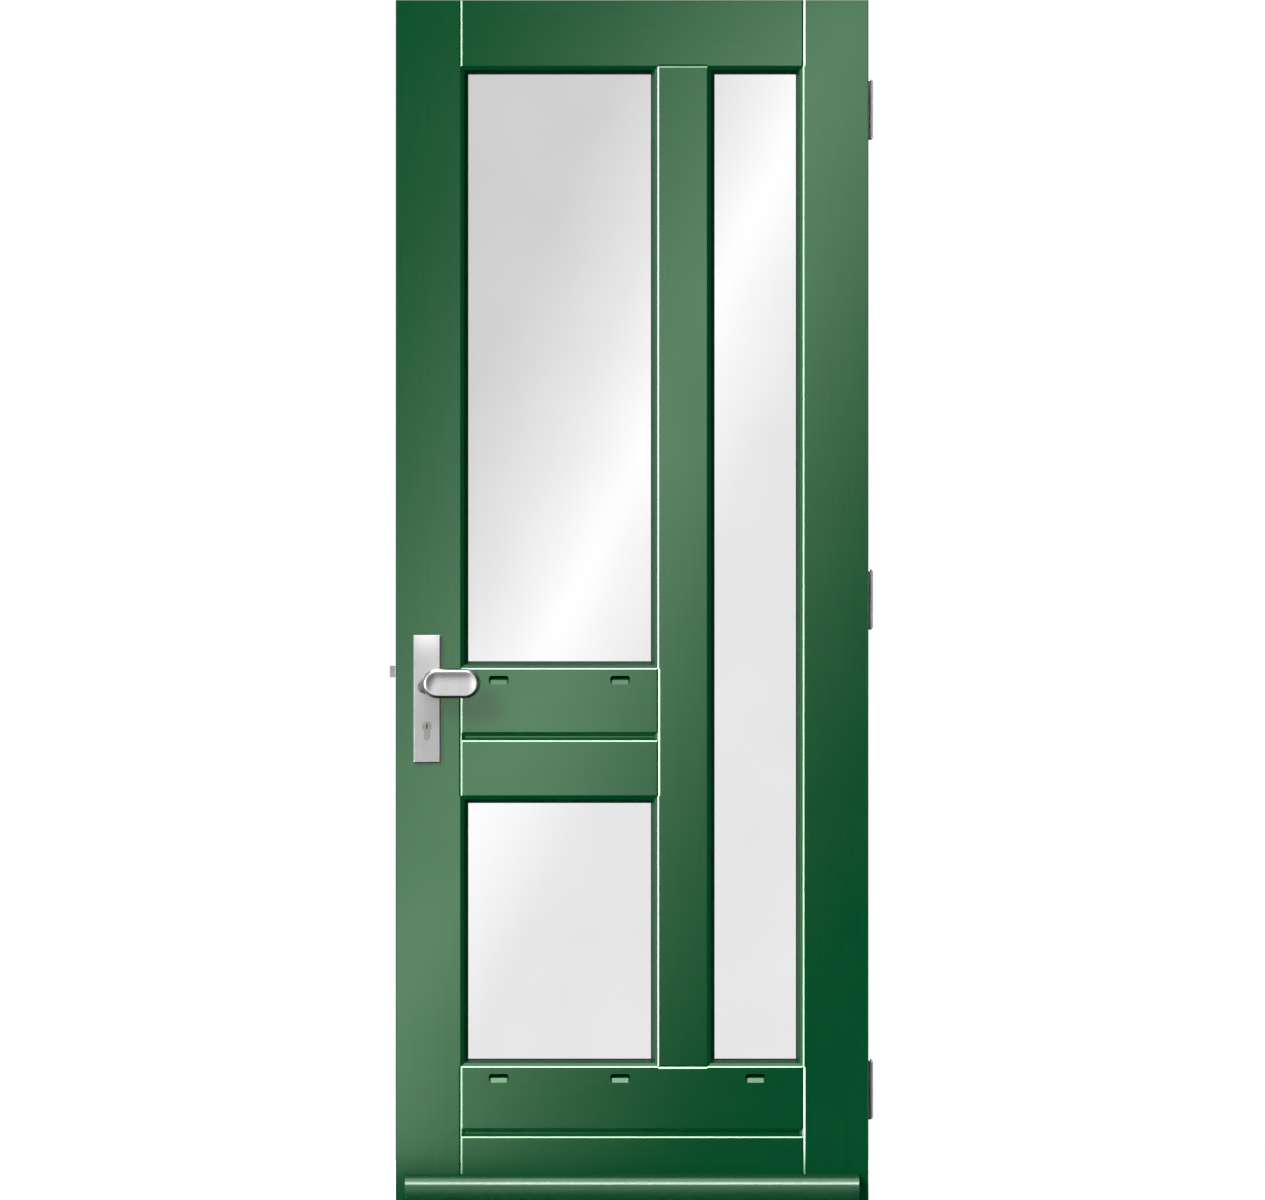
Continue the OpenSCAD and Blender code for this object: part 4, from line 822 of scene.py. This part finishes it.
def slanted(tree, grow):
    """The band's coordinate s at a point of a card that is grow times as large as the leaf's face."""
    coordinates = tree.nodes.new("ShaderNodeTexCoord")
    across = tree.nodes.new("ShaderNodeVectorMath")
    across.operation = "DOT_PRODUCT"
    across.inputs[1].default_value = (BAND_X / grow, 0.0, BAND_Z / grow)
    tree.links.new(coordinates.outputs["Object"], across.inputs[0])
    start = BAND_X * (view_x - leaf_middle.x) + BAND_Z * (view_z - leaf_low.z)
    return number(tree, "ADD", across.outputs["Value"], start)


def face_card(name, y, half_x, half_z):
    """A card that is parallel to the leaf, with its own origin on the view axis."""
    corners = [(-half_x, 0, -half_z), (half_x, 0, -half_z), (half_x, 0, half_z), (-half_x, 0, half_z)]
    piece = flat_card(name, corners)
    piece.location = (view_x, y, view_z)
    return piece


def shine_band(piece, name, left, right, light, power):
    """Light that is strongest along the band and falls to nought at the distances left and right of it."""
    finish, tree, glow = glowing(name)
    aside = number(tree, "SUBTRACT", slanted(tree, 1 + CARD_AWAY / away), BAND_MIDDLE)
    to_left = number(tree, "MULTIPLY", aside, -1 / left)
    to_right = number(tree, "MULTIPLY", aside, 1 / right)
    share = number(tree, "SUBTRACT", 1.0, number(tree, "MAXIMUM", to_left, to_right))
    falling = number(tree, "POWER", number(tree, "MAXIMUM", share, 0.0), power)
    tree.links.new(number(tree, "MULTIPLY", falling, light), glow.inputs["Strength"])
    piece.data.materials.append(finish)
    mirror_only(piece)
    print(piece.name, "with a light of", light)


# %% Banded cards in front and behind
FRONT_HALF_X, FRONT_HALF_Z = 0.8, 1.5
BAND_LEFT, BAND_RIGHT = 0.80, 0.655
BAND_LIGHT, BAND_POWER = 2.55, 2.0
front_card = face_card("banded_card", leaf_front - CARD_AWAY, FRONT_HALF_X, FRONT_HALF_Z)
shine_band(front_card, "banded_glow", BAND_LEFT, BAND_RIGHT, BAND_LIGHT, BAND_POWER)

BACK_HALF_X, BACK_HALF_Z = 5.0, 4.0
BACK_BAND_SIDE = 6.0
BACK_BAND_LIGHT, BACK_BAND_POWER = 1.3, 1.0
back_card = face_card("back_card", leaf_back + CARD_AWAY, BACK_HALF_X, BACK_HALF_Z)
shine_band(back_card, "back_glow", BACK_BAND_SIDE, BACK_BAND_SIDE, BACK_BAND_LIGHT, BACK_BAND_POWER)

# %% [markdown]
# ## A shelf of light over the plate
# The silver plate is white at its top and greyer lower down. A flat satin face does that when something
# bright hangs just above it. A level card in front of the leaf gives it: the paint, which mirrors straight
# ahead, sees only its thin edge, and it shines downwards only.

# %% Shelf card
SHELF_NEAR, SHELF_FAR = 0.02, 0.21
SHELF_LIGHT = 2.5
low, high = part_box("outer_plate")
y_near, y_far = leaf_front - SHELF_NEAR, leaf_front - SHELF_FAR
shelf = flat_card("plate_shelf", [(low.x, y_near, high.z), (high.x, y_near, high.z),
                                  (high.x, y_far, high.z), (low.x, y_far, high.z)])
finish, tree, glow = glowing("shelf_glow")
glow.inputs["Strength"].default_value = SHELF_LIGHT
which_side = tree.nodes.new("ShaderNodeNewGeometry")
clear = tree.nodes.new("ShaderNodeBsdfTransparent")
either_surface(tree, which_side.outputs["Backfacing"], glow.outputs[0], clear.outputs[0])
shelf.data.materials.append(finish)
mirror_only(shelf)
print("shelf at", round(high.z, 3), "with a light of", SHELF_LIGHT)

# %% [markdown]
# ## What shows through the glass
# Behind the door stands a pale screen that only the glass shows. Its light is a painted reflection: it is
# greyer at its upper left and has a bright band down the slant, as the photograph's glass has. A ray that
# has been mirrored goes straight through the screen, so it does not whiten the dark edges round the glass.

# %% Screen behind the glass
SCREEN_AWAY = 0.06
SCREEN_START, SCREEN_LONG = -1.0, 1.2
# Painted reflection: these grey levels and the bright band along the slant stand in for what the glass
# would mirror.
PAINTED_REFLECTION_LEVELS = ((-0.87, 0.72), (-0.70, 0.87), (-0.555, 1.08), (-0.37, 0.89), (0.15, 0.965))
screen = face_card("glass_screen", leaf_back + SCREEN_AWAY,
                   (leaf_right - leaf_low.x) / 2, (leaf_high.z - leaf_low.z) / 2)
finish, tree, glow = glowing("painted_reflection_glow")
place = slanted(tree, 1 + (SCREEN_AWAY + leaf_back - leaf_front) / away)
along = number(tree, "MULTIPLY_ADD", place, 1 / SCREEN_LONG, -SCREEN_START / SCREEN_LONG)
ramp = tree.nodes.new("ShaderNodeValToRGB")
for _ in PAINTED_REFLECTION_LEVELS[2:]:
    ramp.color_ramp.elements.new(0.5)
for stop, (position, light) in zip(ramp.color_ramp.elements, PAINTED_REFLECTION_LEVELS):
    stop.position = (position - SCREEN_START) / SCREEN_LONG
    stop.color = (light, light, light, 1.0)
tree.links.new(along, ramp.inputs["Fac"])
tree.links.new(ramp.outputs["Color"], glow.inputs["Color"])
path = tree.nodes.new("ShaderNodeLightPath")
clear = tree.nodes.new("ShaderNodeBsdfTransparent")
either_surface(tree, after_mirror(tree, path), glow.outputs[0], clear.outputs[0])
screen.data.materials.append(finish)
mirror_only(screen)
screen.visible_glossy = False
screen.visible_transmission = True
print("screen", SCREEN_AWAY, "m behind the leaf with", len(PAINTED_REFLECTION_LEVELS), "levels")

# %% [markdown]
# ## View transform
# The view transform stays Standard, so a colour shows as it is written.

# %% View transform
scene.view_settings.view_transform = "Standard"
